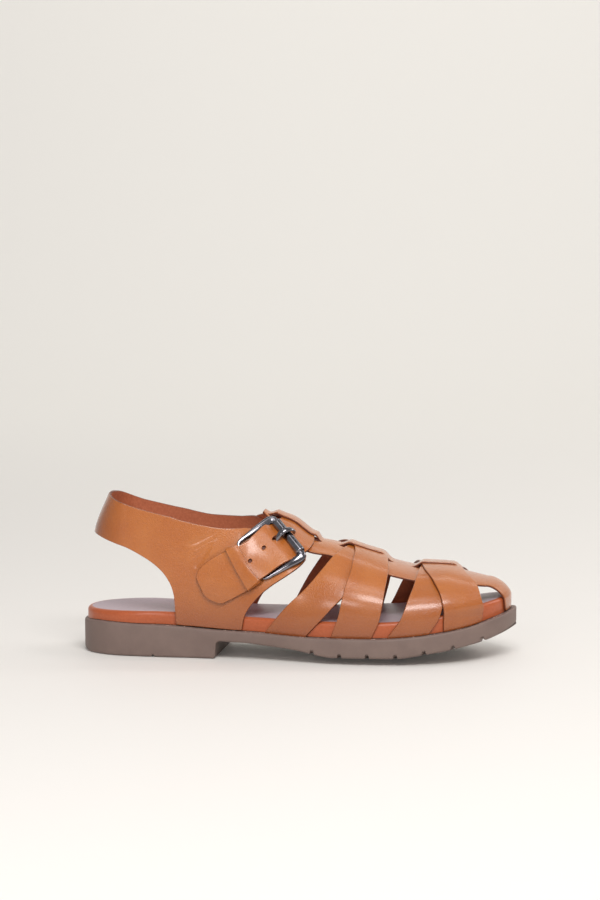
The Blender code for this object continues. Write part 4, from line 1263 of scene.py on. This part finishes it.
def floor_sweep(tint, glow):
    """White acrylic sweep: flat, then a quarter circle up to a wall, lit faintly from below."""
    t = np.linspace(0.0, 1.0, 40)[:, None]
    x = np.array([[-0.5 * SWEEP_WIDTH, 0.5 * SWEEP_WIDTH]])
    flat = (SWEEP_BACK - SWEEP_FRONT) * t / 0.4
    turn = np.clip((t - 0.4) / 0.4, 0.0, 1.0) * 0.5 * np.pi
    y = np.where(t < 0.4, SWEEP_FRONT + flat, SWEEP_BACK + SWEEP_BEND * np.sin(turn))
    z = SWEEP_BEND - SWEEP_BEND * np.cos(turn) + SWEEP_WALL * np.maximum(t - 0.8, 0.0) / 0.2
    grid = np.stack(np.broadcast_arrays(x, y, z), -1).reshape(-1, 3) / MM + (ORIGIN_X, 0.0, 0.0)
    acrylic = bpy.data.materials.new("acrylic_sweep")
    acrylic.use_nodes = True
    shader = acrylic.node_tree.nodes["Principled BSDF"]
    shader.inputs["Base Color"].default_value = (*tint, 1.0)
    shader.inputs["Roughness"].default_value = 0.6
    shader.inputs["Specular IOR Level"].default_value = 0.2
    shader.inputs["Emission Color"].default_value = (*tint, 1.0)
    shader.inputs["Emission Strength"].default_value = glow
    return mesh_piece("floor", grid, quads(len(t), 2, closed_columns=False), [acrylic])


class SANDAL_OT_stage(bpy.types.Operator):
    """Makes the camera, the soft lights and the plain floor"""
    bl_idname = "sandal.stage"
    bl_label = "Stage"

    def execute(self, context):
        settings = context.scene.sandal
        photo_camera()
        floor = floor_sweep(settings.floor_colour, settings.floor_glow)
        for name, place, aim, width, height, tint in SOFTBOXES:
            softbox(name, place, aim, width, height, tint, getattr(settings, name))
        world = bpy.data.worlds.new("room")
        world.use_nodes = True
        sky = world.node_tree.nodes["Background"]
        sky.inputs["Color"].default_value = (*settings.room_colour, 1.0)
        sky.inputs["Strength"].default_value = settings.room_light
        context.scene.world = world
        context.scene.view_settings.view_transform = "Standard"
        return {"FINISHED"}


class SANDAL_PT_panel(bpy.types.Panel):
    """Lists the pieces and the stage's settings"""
    bl_label = "Fisherman sandal"
    bl_idname = "SANDAL_PT_panel"
    bl_space_type = "VIEW_3D"
    bl_region_type = "UI"
    bl_category = "Sandal"

    def draw(self, context):
        for operator in OPERATORS:
            self.layout.operator(operator.bl_idname)
        for name in SandalSettings.__annotations__:
            self.layout.prop(context.scene.sandal, name)


OPERATORS = (
    SANDAL_OT_stage, SANDAL_OT_outsole, SANDAL_OT_footbed, SANDAL_OT_cage, SANDAL_OT_sling,
    SANDAL_OT_closing, SANDAL_OT_buckle,
)
CLASSES = (SandalSettings,) + OPERATORS + (SANDAL_PT_panel,)


def register():
    """Registers the settings, the operators and the panel."""
    for cls in CLASSES:
        bpy.utils.register_class(cls)
    bpy.types.Scene.sandal = PointerProperty(type=SandalSettings)


def unregister():
    """Removes the panel, the operators and the settings."""
    del bpy.types.Scene.sandal
    for cls in reversed(CLASSES):
        bpy.utils.unregister_class(cls)


def main():
    """Builds every piece in order."""
    register()
    bpy.ops.sandal.stage()
    bpy.ops.sandal.outsole()
    bpy.ops.sandal.footbed()
    bpy.ops.sandal.cage()
    bpy.ops.sandal.sling()
    bpy.ops.sandal.closing()
    bpy.ops.sandal.buckle()


if __name__ == "__main__":
    main()
